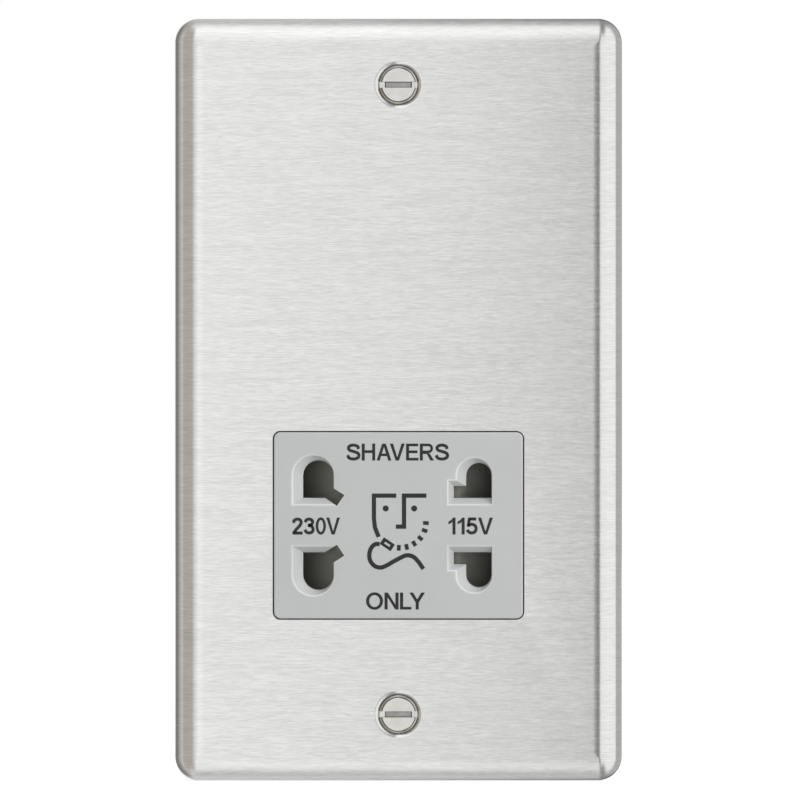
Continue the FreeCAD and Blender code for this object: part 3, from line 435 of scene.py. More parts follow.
def gather(group, screw):
    """Moves the mesh of one screw into the mesh of its group."""
    single = bpy.data.meshes.new("one_screw")
    screw.to_mesh(single)
    screw.free()
    group.from_mesh(single)
    bpy.data.meshes.remove(single)


def plated_metal(name, dark, light, roughness):
    """Plated or drawn metal with faint cloudiness and fine turning marks."""
    finish, shader, add, link = new_finish(name)
    cloud = stretched_noise(add, (500.0, 900.0, 500.0), detail=3.0, roughness=0.6)
    link(shade_between(add, cloud, dark, light), shader.inputs["Base Color"])
    vary_roughness(add, link, shader, cloud, roughness)
    tool_marks = stretched_noise(add, (2500.0, 9000.0, 2500.0), detail=2.0, roughness=0.5)
    emboss(add, link, shader, tool_marks, strength=0.12, depth=0.00002)
    shader.inputs["Metallic"].default_value = 1.0
    return finish


screw_nickel = plated_metal("screw_nickel", (0.68, 0.67, 0.635), (0.78, 0.77, 0.73), (0.14, 0.22))
screw_rows = []
for step in range(CROWN_STEPS + 1):
    angle = math.pi / 2 * step / CROWN_STEPS
    radius = CROWN_RADIUS - CROWN_ROUNDING * (1 - math.sin(angle))
    screw_rows.append((HEAD_TOP + CROWN_ROUNDING * (1 - math.cos(angle)), radius))
screw_rows += [(CROWN_FOOT, CROWN_RADIUS + CROWN_FLARE), (CROWN_FOOT + SEAM_SLOPE, CROWN_RADIUS + SEAM)]
screw_rows += [(HEAD_RIM - BREAK_SLOPE, HEAD_RADIUS - HEAD_BREAK), (HEAD_RIM, HEAD_RADIUS)]
screw_rows += [(NECK_START, NECK_RADIUS), (THREAD_START - NECK_TAPER, NECK_RADIUS)]
screw_rows.append((THREAD_START, THREAD_CORE))
thread_limits = (THREAD_START + THREAD_LEAD, THREAD_END - POINT_LENGTH)
screw_rows += thread_section(*thread_limits, THREAD_RADIUS, THREAD_CORE, THREAD_PITCH)
screw_rows.append((THREAD_END, THREAD_CORE - POINT_INSET))
fixing_screws = bmesh.new()
for spot in FIXING_SPOTS:
    screw = bmesh.new()
    turned(screw, screw_rows, spot)
    cut_slot(screw, spot, DRIVE_WIDTH, DRIVE_LENGTH, DRIVE_FLOOR, HEAD_TOP - DRIVE_CLEARANCE)
    score_floor(screw, spot[1])
    gather(fixing_screws, screw)
screws_piece = make_piece("slotted_fixing_screws", fixing_screws, screw_nickel, sharp=30)
for name, looks in HEAD_PAINTED_SHADES.items():
    screws_piece.data.materials.append(plated_metal(name, *looks))
SLOT_SHADE, BEVEL_SHADE, SEAM_SHADE = 1, 2, 3
# The slot floor, its sides and ends, the head's creases and its bevel ring take the painted shade materials.
for face in screws_piece.data.polygons:
    across = face.center.x / MM
    level = abs(face.center.z / MM) - FIXING_SPACING / 2
    depth = face.center.y / MM
    in_floor = HEAD_TOP + SLOT_SLACK < depth < DRIVE_FLOOR + SLOT_SLACK
    in_slot = in_floor and abs(level) < DRIVE_WIDTH / 2 + SLOT_SLACK
    reach = math.hypot(across, level)
    if in_slot and abs(across) < DRIVE_SHADE:
        edge = abs(level) > DRIVE_WIDTH / 2 - DRIVE_EDGE or abs(across) > DRIVE_SHADE - DRIVE_END
        face.material_index = SEAM_SHADE if edge else SLOT_SHADE
    elif not in_slot and reach > CROWN_RADIUS - CROWN_SHADE and depth < HEAD_RIM + RIM_SLACK:
        seam = reach < CROWN_RADIUS + SEAM or reach > HEAD_RADIUS - HEAD_BREAK
        face.material_index = SEAM_SHADE if seam else BEVEL_SHADE
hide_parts("fixing_screws")

# Outlet panel
# A grey thermoset moulding that fills the plate's opening and is held from behind by its flange. Each of
# its four apertures is an arch for round pins run into a slot for flat blades, with a bevelled lead-in.
FLANGE = 3.0
FLANGE_CORNER = 0.3
FLANGE_LEVELS = (-4.8, -3.8)
PANEL_FRONT = panel_low[1]
PANEL_BACK = panel_high[1]
PANEL_HALF = (panel_high[0] - FLANGE, (panel_high[2] - panel_low[2]) / 2 - FLANGE)
PANEL_CORNER = 1.3
PANEL_EDGE = 0.3
PANEL_ROUNDING = ((1.0, 0.0), (0.4, 0.1), (0.1, 0.4), (0.0, 1.0))
PIN_LEVEL = 9.5
MOUTH_FOOT = 4.0
THROAT_FOOT = 5.2
LEFT_SIDE = -12.4
RIGHT_SIDE = 17.9
SLOT_TILT = math.radians(33.0)
SLOT_HALF = 1.25
SLOT_END = (-11.1, 4.75)
ARCH_STEPS = 24
MOUTH_ROUNDING = 0.22
LIP_OUT = 0.3
LIP_DOWN = 0.25
BEVEL_DEPTH = 1.6
BEVEL_IN = 0.08
BEVEL_START = 0.14
BEVEL_END = 0.94
THROAT_START = 1.06
LEAST_MITRE = 0.5
ROUGHNESS_SWING = 0.05
GAP_SHADE_MARGIN = 0.05
MOUTH_MARGIN = 1.0


def arch(centre_x, radius):
    """The half circle over a pin, from its right side to its left."""
    turns = [math.pi * step / ARCH_STEPS for step in range(ARCH_STEPS + 1)]
    return [(centre_x + radius * math.cos(turn), PIN_LEVEL + radius * math.sin(turn)) for turn in turns]


def left_aperture(radius, foot):
    """Outline of a left aperture: arch, and the slot tilted down towards the middle."""
    across = (SLOT_HALF * math.sin(SLOT_TILT), SLOT_HALF * math.cos(SLOT_TILT))
    upper_end = (SLOT_END[0] + across[0], SLOT_END[1] + across[1])
    lower_end = (SLOT_END[0] - across[0], SLOT_END[1] - across[1])
    upper_root = (LEFT_SIDE, upper_end[1] + (upper_end[0] - LEFT_SIDE) * math.tan(SLOT_TILT))
    lower_root = (lower_end[0] - (foot - lower_end[1]) / math.tan(SLOT_TILT), foot)
    left = LEFT_SIDE - radius * 2
    return [(left, foot), lower_root, lower_end, upper_end, upper_root] + arch(LEFT_SIDE - radius, radius)


def right_aperture(radius, foot, slot_inner, slot_top):
    """Outline of a right aperture: arch, and the level slot at its inner foot."""
    left = RIGHT_SIDE - radius * 2
    slot = [(left, slot_top), (slot_inner, slot_top)]
    return [(slot_inner, foot), (RIGHT_SIDE, foot)] + arch(RIGHT_SIDE - radius, radius) + slot


def square_to(start, end):
    """The direction out of a counter-clockwise outline, square to one of its sides."""
    along = Vector(end) - Vector(start)
    return Vector((along.y, -along.x)).normalized()


def grown(points, distance):
    """The outline moved outwards by a small distance."""
    moved = []
    for before, point, after in zip(points[-1:] + points, points, points[1:] + points[:1]):
        normal = square_to(before, point) + square_to(point, after)
        reach = distance / max(normal.length / 2, LEAST_MITRE)
        moved.append(tuple(Vector(point) + normal.normalized() * reach))
    return moved


def between(first, second, share):
    """An outline part of the way from the first to the second."""
    return [tuple(Vector(a).lerp(Vector(b), share)) for a, b in zip(first, second)]


def moulded(name, dark, light, roughness, grain=5200.0, bump=0.12):
    """Moulded plastic with a faint cloud in its colour and a fine spark-eroded grain."""
    finish, shader, add, link = new_finish(name)
    cloud = stretched_noise(add, (70.0, 70.0, 70.0), detail=3.0, roughness=0.5)
    link(shade_between(add, cloud, dark, light), shader.inputs["Base Color"])
    skin = stretched_noise(add, (grain, grain, grain), detail=2.0, roughness=0.5)
    vary_roughness(add, link, shader, skin, (roughness - ROUGHNESS_SWING, roughness + ROUGHNESS_SWING))
    emboss(add, link, shader, skin, bump, depth=0.00003)
    return finish


panel_grey = moulded("panel_grey", (0.515, 0.528, 0.522), (0.53, 0.542, 0.535), 0.5)
# Near-black copy of the panel plastic for the panel's side walls and flange: painted shade of the gap between
# panel and plate.
painted_gap_shade = moulded("painted_gap_shade", (0.05, 0.05, 0.05), (0.07, 0.07, 0.07), 0.7)
# Lighter copy of the panel plastic on the aperture mouths' lips and throats: painted highlight along their
# rounded edges.
painted_edge_highlight = moulded("painted_edge_highlight", (0.63, 0.642, 0.636), (0.69, 0.702, 0.696), 0.42)
apertures = [
    (left_aperture(radius=3.95, foot=MOUTH_FOOT), left_aperture(radius=2.95, foot=THROAT_FOOT)),
    (
        right_aperture(radius=3.4, foot=MOUTH_FOOT, slot_inner=9.5, slot_top=8.6),
        right_aperture(radius=2.45, foot=THROAT_FOOT, slot_inner=10.6, slot_top=7.5),
    ),
]
panel = bmesh.new()
outside = []
outside_rows = [(inward * PANEL_EDGE, PANEL_FRONT + down * PANEL_EDGE) for inward, down in PANEL_ROUNDING]
outside_rows += [(0.0, FLANGE_LEVELS[0]), (-FLANGE, FLANGE_LEVELS[0]), (-FLANGE, FLANGE_LEVELS[1])]
outside_rows += [(0.0, FLANGE_LEVELS[1]), (0.0, PANEL_BACK)]
for inset, depth in outside_rows:
    half = [side - inset for side in PANEL_HALF]
    corner = FLANGE_CORNER if inset < 0 else PANEL_CORNER - inset
    outside.append(lay_loop(panel, rounded_outline(*half, corner, PANEL_CENTRE), depth))
join_loops(panel, outside)
front_holes = []
back_holes = []
for mouth, throat in apertures:
    rows = [
        (grown(mouth, MOUTH_ROUNDING), PANEL_FRONT),
        (grown(mouth, LIP_OUT * MOUTH_ROUNDING), PANEL_FRONT + LIP_DOWN * MOUTH_ROUNDING),
        (between(mouth, throat, BEVEL_IN), PANEL_FRONT + BEVEL_START * BEVEL_DEPTH),
        (between(mouth, throat, BEVEL_END), PANEL_FRONT + BEVEL_END * BEVEL_DEPTH),
        (throat, PANEL_FRONT + THROAT_START * BEVEL_DEPTH),
        (throat, PANEL_BACK),
    ]
    for flip in (1, -1):
        loops = []
        for points, depth in rows:
            placed = [(x, PANEL_CENTRE[1] + flip * z) for x, z in points]
            loops.append(lay_loop(panel, placed, depth))
        join_loops(panel, loops)
        front_holes.append(loops[0])
        back_holes.append(loops[-1])
fill_between(panel, [outside[0]] + front_holes)
fill_between(panel, [outside[-1]] + back_holes)
panel_piece = make_piece("grey_outlet_panel", panel, panel_grey, sharp=50)
panel_piece.data.materials.append(painted_gap_shade)
panel_piece.data.materials.append(painted_edge_highlight)
GAP_SHADE_FACES, EDGE_HIGHLIGHT_FACES = 1, 2
for face in panel_piece.data.polygons:
    margin = min(
        PANEL_HALF[0] - abs(face.center.x / MM - PANEL_CENTRE[0]),
        PANEL_HALF[1] - abs(face.center.z / MM - PANEL_CENTRE[1]),
    )
    depth = face.center.y / MM - PANEL_FRONT
    at_lip = LEVEL_SLACK < depth < BEVEL_START * BEVEL_DEPTH
    at_throat = BEVEL_END < depth / BEVEL_DEPTH < THROAT_START
    # Faces on the panel's sides, behind its rounded front edge, get the painted shade of the gap.
    if margin < GAP_SHADE_MARGIN and depth > PANEL_EDGE:
        face.material_index = GAP_SHADE_FACES
    # Faces at each aperture's lip and throat get the painted highlight.
    elif margin > MOUTH_MARGIN and (at_lip or at_throat):
        face.material_index = EDGE_HIGHLIGHT_FACES
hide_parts("outlet_panel")

# Printed marks
# Dark pad-printed ink on the panel: the use, the two voltages and the common sign for a shaver supply.
# The film of ink stands about a hundredth of a millimetre proud of the moulding.
INK_PROUD = 0.012
INK_SUNK = 0.01
STROKE = 0.83
CAPITAL = 3.25
WORDS = {
    "SHAVERS": (-0.18, -10.06, 19.72),
    "ONLY": (-0.56, -38.58, 11.3),
    "230V": (-15.78, -24.22, 9.19),
    "115V": (13.8, -24.22, 8.61),
}
CURVE_STEPS = 8
BOWL_STEPS = 16


def ink_slab(mesh, *outlines):
    """A thin film inside the first outline and outside the others."""
    fronts = [lay_loop(mesh, outline, PANEL_FRONT - INK_PROUD) for outline in outlines]
    backs = [lay_loop(mesh, outline, PANEL_FRONT + INK_SUNK) for outline in outlines]
    for front, back in zip(fronts, backs):
        join_loops(mesh, [front, back])
    fill_between(mesh, fronts)
    fill_between(mesh, backs)


def ink_stroke(mesh, points, width=STROKE):
    """A line of even width with square ends and mitred corners."""
    path = [Vector(point) for point in points]
    left = []
    right = []
    for index, point in enumerate(path):
        ahead = (path[min(index + 1, len(path) - 1)] - point).normalized()
        behind = (point - path[max(index - 1, 0)]).normalized()
        heading = (ahead + behind).normalized()
        side = Vector((-heading.y, heading.x))
        across = Vector((-ahead.y, ahead.x)) if ahead.length else side
        reach = side * width / 2 / max(abs(side.dot(across)), LEAST_MITRE)
        left.append(tuple(point + reach))
        right.append(tuple(point - reach))
    ink_slab(mesh, left + right[::-1])


def smooth_path(points):
    """Points of a soft curve through the points given."""
    path = [Vector(point) for point in points]
    path = [path[0] * 2 - path[1]] + path + [path[-1] * 2 - path[-2]]
    result = []
    for a, b, c, d in zip(path, path[1:], path[2:], path[3:]):
        for step in range(CURVE_STEPS):
            t = step / CURVE_STEPS
            bend = (2 * a - 5 * b + 4 * c - d) * t ** 2 + (3 * b - 3 * c + d - a) * t ** 3
            result.append(tuple(b + (c - a) * t / 2 + bend / 2))
    return result + [tuple(path[-2])]


def half_round(centre, radius):
    """The right half of a circle, from its top to its foot."""
    turns = [math.pi / 2 - math.pi * step / BOWL_STEPS for step in range(BOWL_STEPS + 1)]
    return [(centre[0] + radius * math.cos(turn), centre[1] + radius * math.sin(turn)) for turn in turns]


# Letters and numerals of a plain grotesque, one unit high: outlines with their holes, or strokes of a pen.
PEN = 0.185
BOWL = (0.53, 0.715)
OUTLINES = {
    "H": [[(0, 0), (0, 1), (0.19, 1), (0.19, 0.61), (0.645, 0.61), (0.645, 1), (0.835, 1), (0.835, 0),
           (0.645, 0), (0.645, 0.445), (0.19, 0.445), (0.19, 0)]],
    "A": [[(0, 0), (0.35, 1), (0.57, 1), (0.92, 0), (0.72, 0), (0.635, 0.26), (0.285, 0.26), (0.2, 0)],
          [(0.335, 0.415), (0.585, 0.415), (0.46, 0.8)]],
    "V": [[(0, 1), (0.2, 1), (0.46, 0.2), (0.72, 1), (0.92, 1), (0.565, 0), (0.355, 0)]],
    "E": [[(0, 0), (0, 1), (0.75, 1), (0.75, 0.84), (0.19, 0.84), (0.19, 0.595), (0.71, 0.595), (0.71, 0.435),
           (0.19, 0.435), (0.19, 0.16), (0.77, 0.16), (0.77, 0)]],
    "R": [[(0, 0), (0, 1), *half_round(BOWL, 0.285), (0.62, 0.4), (0.88, 0), (0.65, 0), (0.43, 0.385),
           (0.19, 0.385), (0.19, 0)],
          [(0.19, 0.84), *half_round(BOWL, 0.125), (0.19, 0.59)]],
    "O": [round_outline(0.505, (0.505, 0.5), 0.515), round_outline(0.315, (0.505, 0.5), 0.35)],
    "N": [[(0, 0), (0, 1), (0.2, 1), (0.645, 0.29), (0.645, 1), (0.835, 1), (0.835, 0), (0.635, 0),
           (0.19, 0.71), (0.19, 0)]],
    "L": [[(0, 0), (0, 1), (0.19, 1), (0.19, 0.16), (0.68, 0.16), (0.68, 0)]],
    "Y": [[(0, 1), (0.22, 1), (0.46, 0.6), (0.7, 1), (0.92, 1), (0.555, 0.41), (0.555, 0), (0.365, 0),
           (0.365, 0.41)]],
    "0": [round_outline(0.345, (0.345, 0.5), 0.51), round_outline(0.165, (0.345, 0.5), 0.35)],
    "1": [[(0.27, 0), (0.27, 0.74), (0.16, 0.66), (0.02, 0.6), (0.02, 0.76), (0.2, 0.86), (0.31, 1),
           (0.46, 1), (0.46, 0)]],
}
LINES = {
    "S": [[(0.78, 0.68), (0.7, 0.845), (0.45, 0.91), (0.22, 0.85), (0.155, 0.72), (0.24, 0.605), (0.48, 0.53),
           (0.73, 0.435), (0.8, 0.285), (0.71, 0.15), (0.46, 0.09), (0.2, 0.15), (0.1, 0.32)]],
    "2": [[(0.1, 0.68), (0.16, 0.84), (0.36, 0.908), (0.55, 0.85), (0.605, 0.7), (0.51, 0.52), (0.28, 0.29),
           (0.13, 0.11)],
          [(0.03, 0.085), (0.71, 0.085)]],
    "3": [[(0.09, 0.72), (0.17, 0.855), (0.35, 0.908), (0.53, 0.85), (0.585, 0.72), (0.5, 0.59),
           (0.28, 0.535)],
          [(0.28, 0.535), (0.53, 0.48), (0.62, 0.3), (0.55, 0.15), (0.35, 0.092), (0.16, 0.15),
           (0.07, 0.29)]],
    "5": [[(0.63, 0.915), (0.19, 0.915)],
          [(0.215, 0.98), (0.135, 0.46)],
          [(0.135, 0.5), (0.23, 0.575), (0.39, 0.6), (0.56, 0.515), (0.615, 0.33), (0.54, 0.16),
           (0.35, 0.092), (0.17, 0.15), (0.07, 0.28)]],
}
LETTER_WIDTHS = {
    "S": 0.89, "H": 0.835, "A": 0.92, "V": 0.92, "E": 0.77, "R": 0.88, "O": 1.01, "N": 0.835, "L": 0.68,
    "Y": 0.92, "2": 0.71, "3": 0.71, "0": 0.69, "1": 0.46, "5": 0.71,
}
LETTER_GAP = 0.08
CLOSE_PAIRS = {"AV": -0.1, "LY": -0.12, "0V": 0.02, "5V": 0.02, "11": 0.1, "RS": 0.03}


def ink_word(mesh, word, centre_x, centre_z, width):
    """One word in capitals, fitted to the width given."""
    starts = []
    reach = 0.0
    for index, letter in enumerate(word):
        starts.append(reach)
        reach += LETTER_WIDTHS[letter] + CLOSE_PAIRS.get(word[index:index + 2], LETTER_GAP)
    reach = starts[-1] + LETTER_WIDTHS[word[-1]]

    def placed(points, start):
        left = centre_x + (start / reach - 0.5) * width
        return [(left + x / reach * width, centre_z + (z - 0.5) * CAPITAL) for x, z in points]

    for letter, start in zip(word, starts):
        if letter in OUTLINES:
            ink_slab(mesh, *[placed(loop, start) for loop in OUTLINES[letter]])
        for line in LINES.get(letter, []):
            path = smooth_path(line) if len(line) > 2 else line
            ink_stroke(mesh, placed(path, start), PEN * CAPITAL)


marks = bmesh.new()
for word, (x, z, width) in WORDS.items():
    ink_word(marks, word, x, z, width)
SIGN_LINES = [
    [(-0.42, -18.4), (-4.69, -18.4), (-4.69, -22.65), (-4.5, -24.5), (-3.78, -26.31)],
    [(5.36, -18.4), (1.07, -18.4), (1.07, -24.34), (-0.51, -24.34)],
]
SIGN_CORD = [
    (-3.6, -27.64), (-4.53, -27.75), (-5.22, -28.45), (-5.57, -29.61), (-5.38, -30.88), (-4.53, -31.88),
    (-3.37, -32.16), (-2.21, -31.74), (-0.93, -31.0), (0.3, -30.35), (1.23, -29.91), (2.04, -29.84),
    (2.9, -30.14), (3.73, -30.95), (4.78, -32.44),
]
SIGN_EYES = [(-2.44, -20.86), (3.01, -20.86)]
SIGN_EYE = 0.58
SIGN_STUBBLE = [
    (5.26, -23.65), (5.01, -25.08), (4.17, -26.55), (3.01, -27.57), (1.58, -28.22), (0.07, -28.38),
]
STUBBLE_HALF = 0.55
STUBBLE_WIDTH = 0.74
SIGN_JAW = (0.4, -23.4)
SIGN_SHAVER = (-2.14, -27.71)
SHAVER_TURN = -34.0
SHAVER_HALVES = ((1.27, 0.76), (0.6, 0.2))
for line in SIGN_LINES:
    ink_stroke(marks, line)
ink_stroke(marks, smooth_path(SIGN_CORD))
for spot in SIGN_EYES:
    ink_slab(marks, round_outline(SIGN_EYE, spot))
for spot in SIGN_STUBBLE:
    outwards = (Vector(spot) - Vector(SIGN_JAW)).normalized() * STUBBLE_HALF
    ink_stroke(marks, [tuple(Vector(spot) - outwards), tuple(Vector(spot) + outwards)], STUBBLE_WIDTH)
shaver_turn = Matrix.Rotation(math.radians(SHAVER_TURN), 2)
shaver_frame = []
for wide, high in SHAVER_HALVES:
    corners = [(-wide, -high), (wide, -high), (wide, high), (-wide, high)]
    shaver_frame.append([tuple(Vector(SIGN_SHAVER) + shaver_turn @ Vector(corner)) for corner in corners])
ink_slab(marks, *shaver_frame)
ink = moulded("print_ink", (0.010, 0.010, 0.011), (0.017, 0.017, 0.018), 0.6)
marks_piece = make_piece("printed_marks", marks, ink)

# Front body and the pieces behind the panel
# A grey tray moulding carries the panel, the shutter rails and the transformer's posts; it hangs on
# the plate's weld studs by two spring-steel clips.
CAD_SHARP = 32


def dress(name, finish, sharp=CAD_SHARP):
    """A finish and even shading for a piece that keeps its solid form."""
    piece = nodes[name]
    piece.data.materials.clear()
    piece.data.materials.append(finish)
    piece.data.shade_smooth()
    weld = piece.modifiers.new("weld", "WELD")
    weld.merge_threshold = 1e-6
    split = piece.modifiers.new("sharp_edges", "EDGE_SPLIT")
    split.split_angle = math.radians(sharp)


body_grey = moulded("body_grey", (0.262, 0.262, 0.257), (0.278, 0.278, 0.273), 0.5)
dress("front_body", body_grey)
clip_steel = plated_metal("clip_steel", (0.42, 0.42, 0.41), (0.56, 0.56, 0.55), (0.25, 0.38))
dress("stud_clips", clip_steel)
tag_tin = plated_metal("tag_tin", (0.55, 0.52, 0.46), (0.68, 0.65, 0.58), (0.28, 0.4))
dress("earth_tag", tag_tin)

# Interlock shutter
# An olive-grey acetal slide behind the apertures, with a ramp under each pin hole and a spring at each end.
# A pin pushes it aside, which covers the other pair of apertures.
shutter_olive = moulded("shutter_olive", (0.27, 0.268, 0.235), (0.33, 0.328, 0.29), 0.42)
dress("interlock_shutter", shutter_olive)

# Shutter springs
# Two light compression springs of round zinc-plated wire, wound with closed ends, between the slide and
# the tray. Each sits on the tray at its outer end and bears on the slide at its inner end.
SPRING_RADIUS = 1.9
SPRING_WIRE = 0.27
SPRING_TURNS = 7
SPRING_CENTRE = (1.8, PANEL_CENTRE[1])
SPRING_ENDS = (12.7, 30.7)
SPRING_STEPS = 28
CLOSED_SHARE = 0.1
CLOSED_ADVANCE = 0.06
WIRE_SIDES = 10
spring_zinc = plated_metal("spring_zinc", (0.50, 0.50, 0.49), (0.64, 0.64, 0.62), (0.22, 0.34))
for side, hand in (("left", -1), ("right", 1)):
    coil = bmesh.new()
    rings = []
    count = SPRING_TURNS * SPRING_STEPS
    for step in range(count + 1):
        angle = 2 * math.pi * step / SPRING_STEPS
        share = step / count
        eased = min(max((share - CLOSED_SHARE) / (1 - 2 * CLOSED_SHARE), 0.0), 1.0)
        advance = CLOSED_ADVANCE * share + (1 - CLOSED_ADVANCE) * eased
        x = SPRING_ENDS[0] + (SPRING_ENDS[1] - SPRING_ENDS[0]) * advance
        outwards = Vector((0.0, math.cos(angle), math.sin(angle)))
        middle = Vector((hand * x, SPRING_CENTRE[0], SPRING_CENTRE[1])) + outwards * SPRING_RADIUS
        ring = []
        for number in range(WIRE_SIDES):
            turn = 2 * math.pi * number / WIRE_SIDES
            spot = middle + outwards * SPRING_WIRE * math.cos(turn)
            spot.x += SPRING_WIRE * math.sin(turn)
            ring.append(coil.verts.new(spot * MM))
        rings.append(ring)
    join_loops(coil, rings)
    coil.faces.new(rings[0])
    coil.faces.new(rings[-1])
    spring = make_piece(f"coil_spring_{side}", coil, spring_zinc, body=None, sharp=60)
    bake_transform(spring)
    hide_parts(f"shutter_spring_{side}")

# Contacts and their carrier
# Phosphor-bronze strip folded into forks that grip the pins, one fork behind each aperture.
# They are pressed into a black thermoset carrier that rests on the rails.
carrier_black = moulded("carrier_black", (0.035, 0.035, 0.036), (0.055, 0.055, 0.056), 0.5)
dress("contact_carrier", carrier_black)
contact_bronze = plated_metal("contact_bronze", (0.56, 0.36, 0.16), (0.70, 0.47, 0.23), (0.24, 0.36))
for voltage in ("230v", "115v"):
    for level in ("upper", "lower"):
        dress(f"contact_{voltage}_{level}", contact_bronze)

# Transformer
# A stack of varnished steel plates with a split nylon bobbin on its centre leg; enamelled copper wire is
# wound in its two chambers, and a flat thermal cut-out lies against the stack's side.


def layered(name, dark, light, scale, axis, roughness, metallic):
    """A finish with fine even lines, as a stack of plates or a layer of wire shows."""
    finish, shader, add, link = new_finish(name)
    place = add("ShaderNodeTexCoord")
    lines = add(
        "ShaderNodeTexWave",
        {"Vector": place.outputs["Object"], "Scale": scale, "Distortion": 0.6, "Detail": 2.0},
        wave_type="BANDS",
        bands_direction=axis,
    )
    link(shade_between(add, lines.outputs["Fac"], dark, light, 0.2, 0.8), shader.inputs["Base Color"])
    emboss(add, link, shader, lines.outputs["Fac"], strength=0.4, depth=0.0001)
    shader.inputs["Roughness"].default_value = roughness
    shader.inputs["Metallic"].default_value = metallic
    return finish


plate_stack = layered("plate_stack", (0.05, 0.05, 0.055), (0.16, 0.16, 0.165), 630.0, "Y", 0.4, 0.6)
dress("transformer_core", plate_stack)
bobbin_nylon = moulded("bobbin_nylon", (0.70, 0.68, 0.60), (0.78, 0.76, 0.68), 0.4)
dress("coil_bobbin", bobbin_nylon)
copper_wire = layered("copper_wire", (0.30, 0.10, 0.035), (0.62, 0.26, 0.10), 1200.0, "Z", 0.3, 0.9)
dress("primary_winding", copper_wire)
dress("secondary_winding", copper_wire)
dress("thermal_cutout", moulded("cutout_case", (0.05, 0.05, 0.055), (0.075, 0.075, 0.08), 0.45))

# Rear housing
# A warm-white moulded cover over the transformer, with vents and an open bay for the supply terminals.
# Two screws hold it to the front body from behind.
housing_white = moulded("housing_white", (0.69, 0.68, 0.64), (0.71, 0.70, 0.66), 0.45, 3800.0, 0.15)
dress("rear_housing", housing_white)

# Supply terminals
# Brass blocks with a bore for the wire and a slotted clamp screw, pressed into the bay by a square tang.
# One raised letter moulded on the housing below each block tells live, neutral and earth apart.
LETTERS = {"live": "L", "neutral": "N", "earth": "E"}
TERMINAL_SPOTS = {}
for name in LETTERS:
    low, high = cad_corners(f"{name}_terminal")
    TERMINAL_SPOTS[name] = ((low[0] + high[0]) / 2, (low[2] + high[2]) / 2)
HOUSING_BACK = cad_corners("rear_housing")[1][1]
LETTER_SIZE = 2.8
LETTER_LEVEL = 38.2
LETTER_DEPTHS = (HOUSING_BACK - 0.03, HOUSING_BACK + 0.15)
CLAMP_TIP = 25.8
CLAMP_POINT = 1.1
CLAMP_CORE = 1.35
CLAMP_RADIUS = 1.62
CLAMP_TAPER = 0.4
CLAMP_THREAD = (26.3, 29.8)
CLAMP_NECK = 30.0
CLAMP_BACK = 31.6
CLAMP_CHAMFER = (0.3, 0.25)
CLAMP_DRIVE = 1.0
SMALL_DRIVE = (0.8, 6.0)
DRIVE_TURN = math.radians(20.0)
brass = plated_metal("terminal_brass", (0.60, 0.43, 0.17), (0.74, 0.56, 0.26), (0.24, 0.36))
for name in TERMINAL_SPOTS:
    dress(f"{name}_terminal", brass)
zinc_screw = plated_metal("zinc_screw", (0.50, 0.50, 0.48), (0.64, 0.63, 0.60), (0.22, 0.34))


def slotted(name, spots, section, back, drive_depth):
    """A group of like slotted screws driven from behind."""
    group = bmesh.new()
    for spot in spots:
        screw = bmesh.new()
        turned(screw, section, spot)
        cut_slot(screw, spot, *SMALL_DRIVE, back - drive_depth, back + DRIVE_CLEARANCE, DRIVE_TURN)
        gather(group, screw)
    piece = make_piece(name, group, zinc_screw, sharp=30)


raised = bmesh.new()
for name, letter in LETTERS.items():
    left = TERMINAL_SPOTS[name][0] + LETTER_WIDTHS[letter] / 2 * LETTER_SIZE
    outline = [
        (left - x * LETTER_SIZE, LETTER_LEVEL + (z - 0.5) * LETTER_SIZE) for x, z in OUTLINES[letter][0]
    ]
    foot, face = [lay_loop(raised, outline, depth) for depth in LETTER_DEPTHS]
    join_loops(raised, [foot, face])
    fill_between(raised, [foot])
    fill_between(raised, [face])
letters_piece = make_piece("terminal_letters", raised, housing_white)
clamp_section = [(CLAMP_TIP, CLAMP_POINT), (CLAMP_TIP + CLAMP_TAPER, CLAMP_CORE)]
clamp_section += thread_section(*CLAMP_THREAD, CLAMP_RADIUS, CLAMP_CORE, THREAD_PITCH)
clamp_section += [(CLAMP_NECK, CLAMP_RADIUS), (CLAMP_BACK - CLAMP_CHAMFER[0], CLAMP_RADIUS)]
clamp_section.append((CLAMP_BACK, CLAMP_RADIUS - CLAMP_CHAMFER[1]))
slotted("terminal_clamp_screws", TERMINAL_SPOTS.values(), clamp_section, CLAMP_BACK, CLAMP_DRIVE)

# Housing screws
# Two thread-forming screws of zinc-plated steel with slotted pan heads. They stand at the foot of their
# wells, driven from behind, and join the rear housing to the front body.
HOUSING_SPOTS = [(3.75, 45.4), (3.75, -46.4)]
FORMING_POINT = (1.2, 0.5)
FORMING_THREAD = (1.6, 13.0)
FORMING_RADIUS = 1.42
FORMING_CORE = 1.05
FORMING_PITCH = 1.1
SHANK_START = 13.3
SHANK_RADIUS = 1.2
PAN_SEAT = 14.0
PAN_ROWS = ((0.01, 2.4), (1.6, 2.4), (1.9, 2.2), (2.0, 1.6))
PAN_DRIVE = 0.9
housing_section = [FORMING_POINT]
housing_section += thread_section(*FORMING_THREAD, FORMING_RADIUS, FORMING_CORE, FORMING_PITCH)
housing_section += [(SHANK_START, SHANK_RADIUS), (PAN_SEAT, SHANK_RADIUS)]
housing_section += [(PAN_SEAT + rise, radius) for rise, radius in PAN_ROWS]
slotted("housing_screws", HOUSING_SPOTS, housing_section, PAN_SEAT + PAN_ROWS[-1][0], PAN_DRIVE)

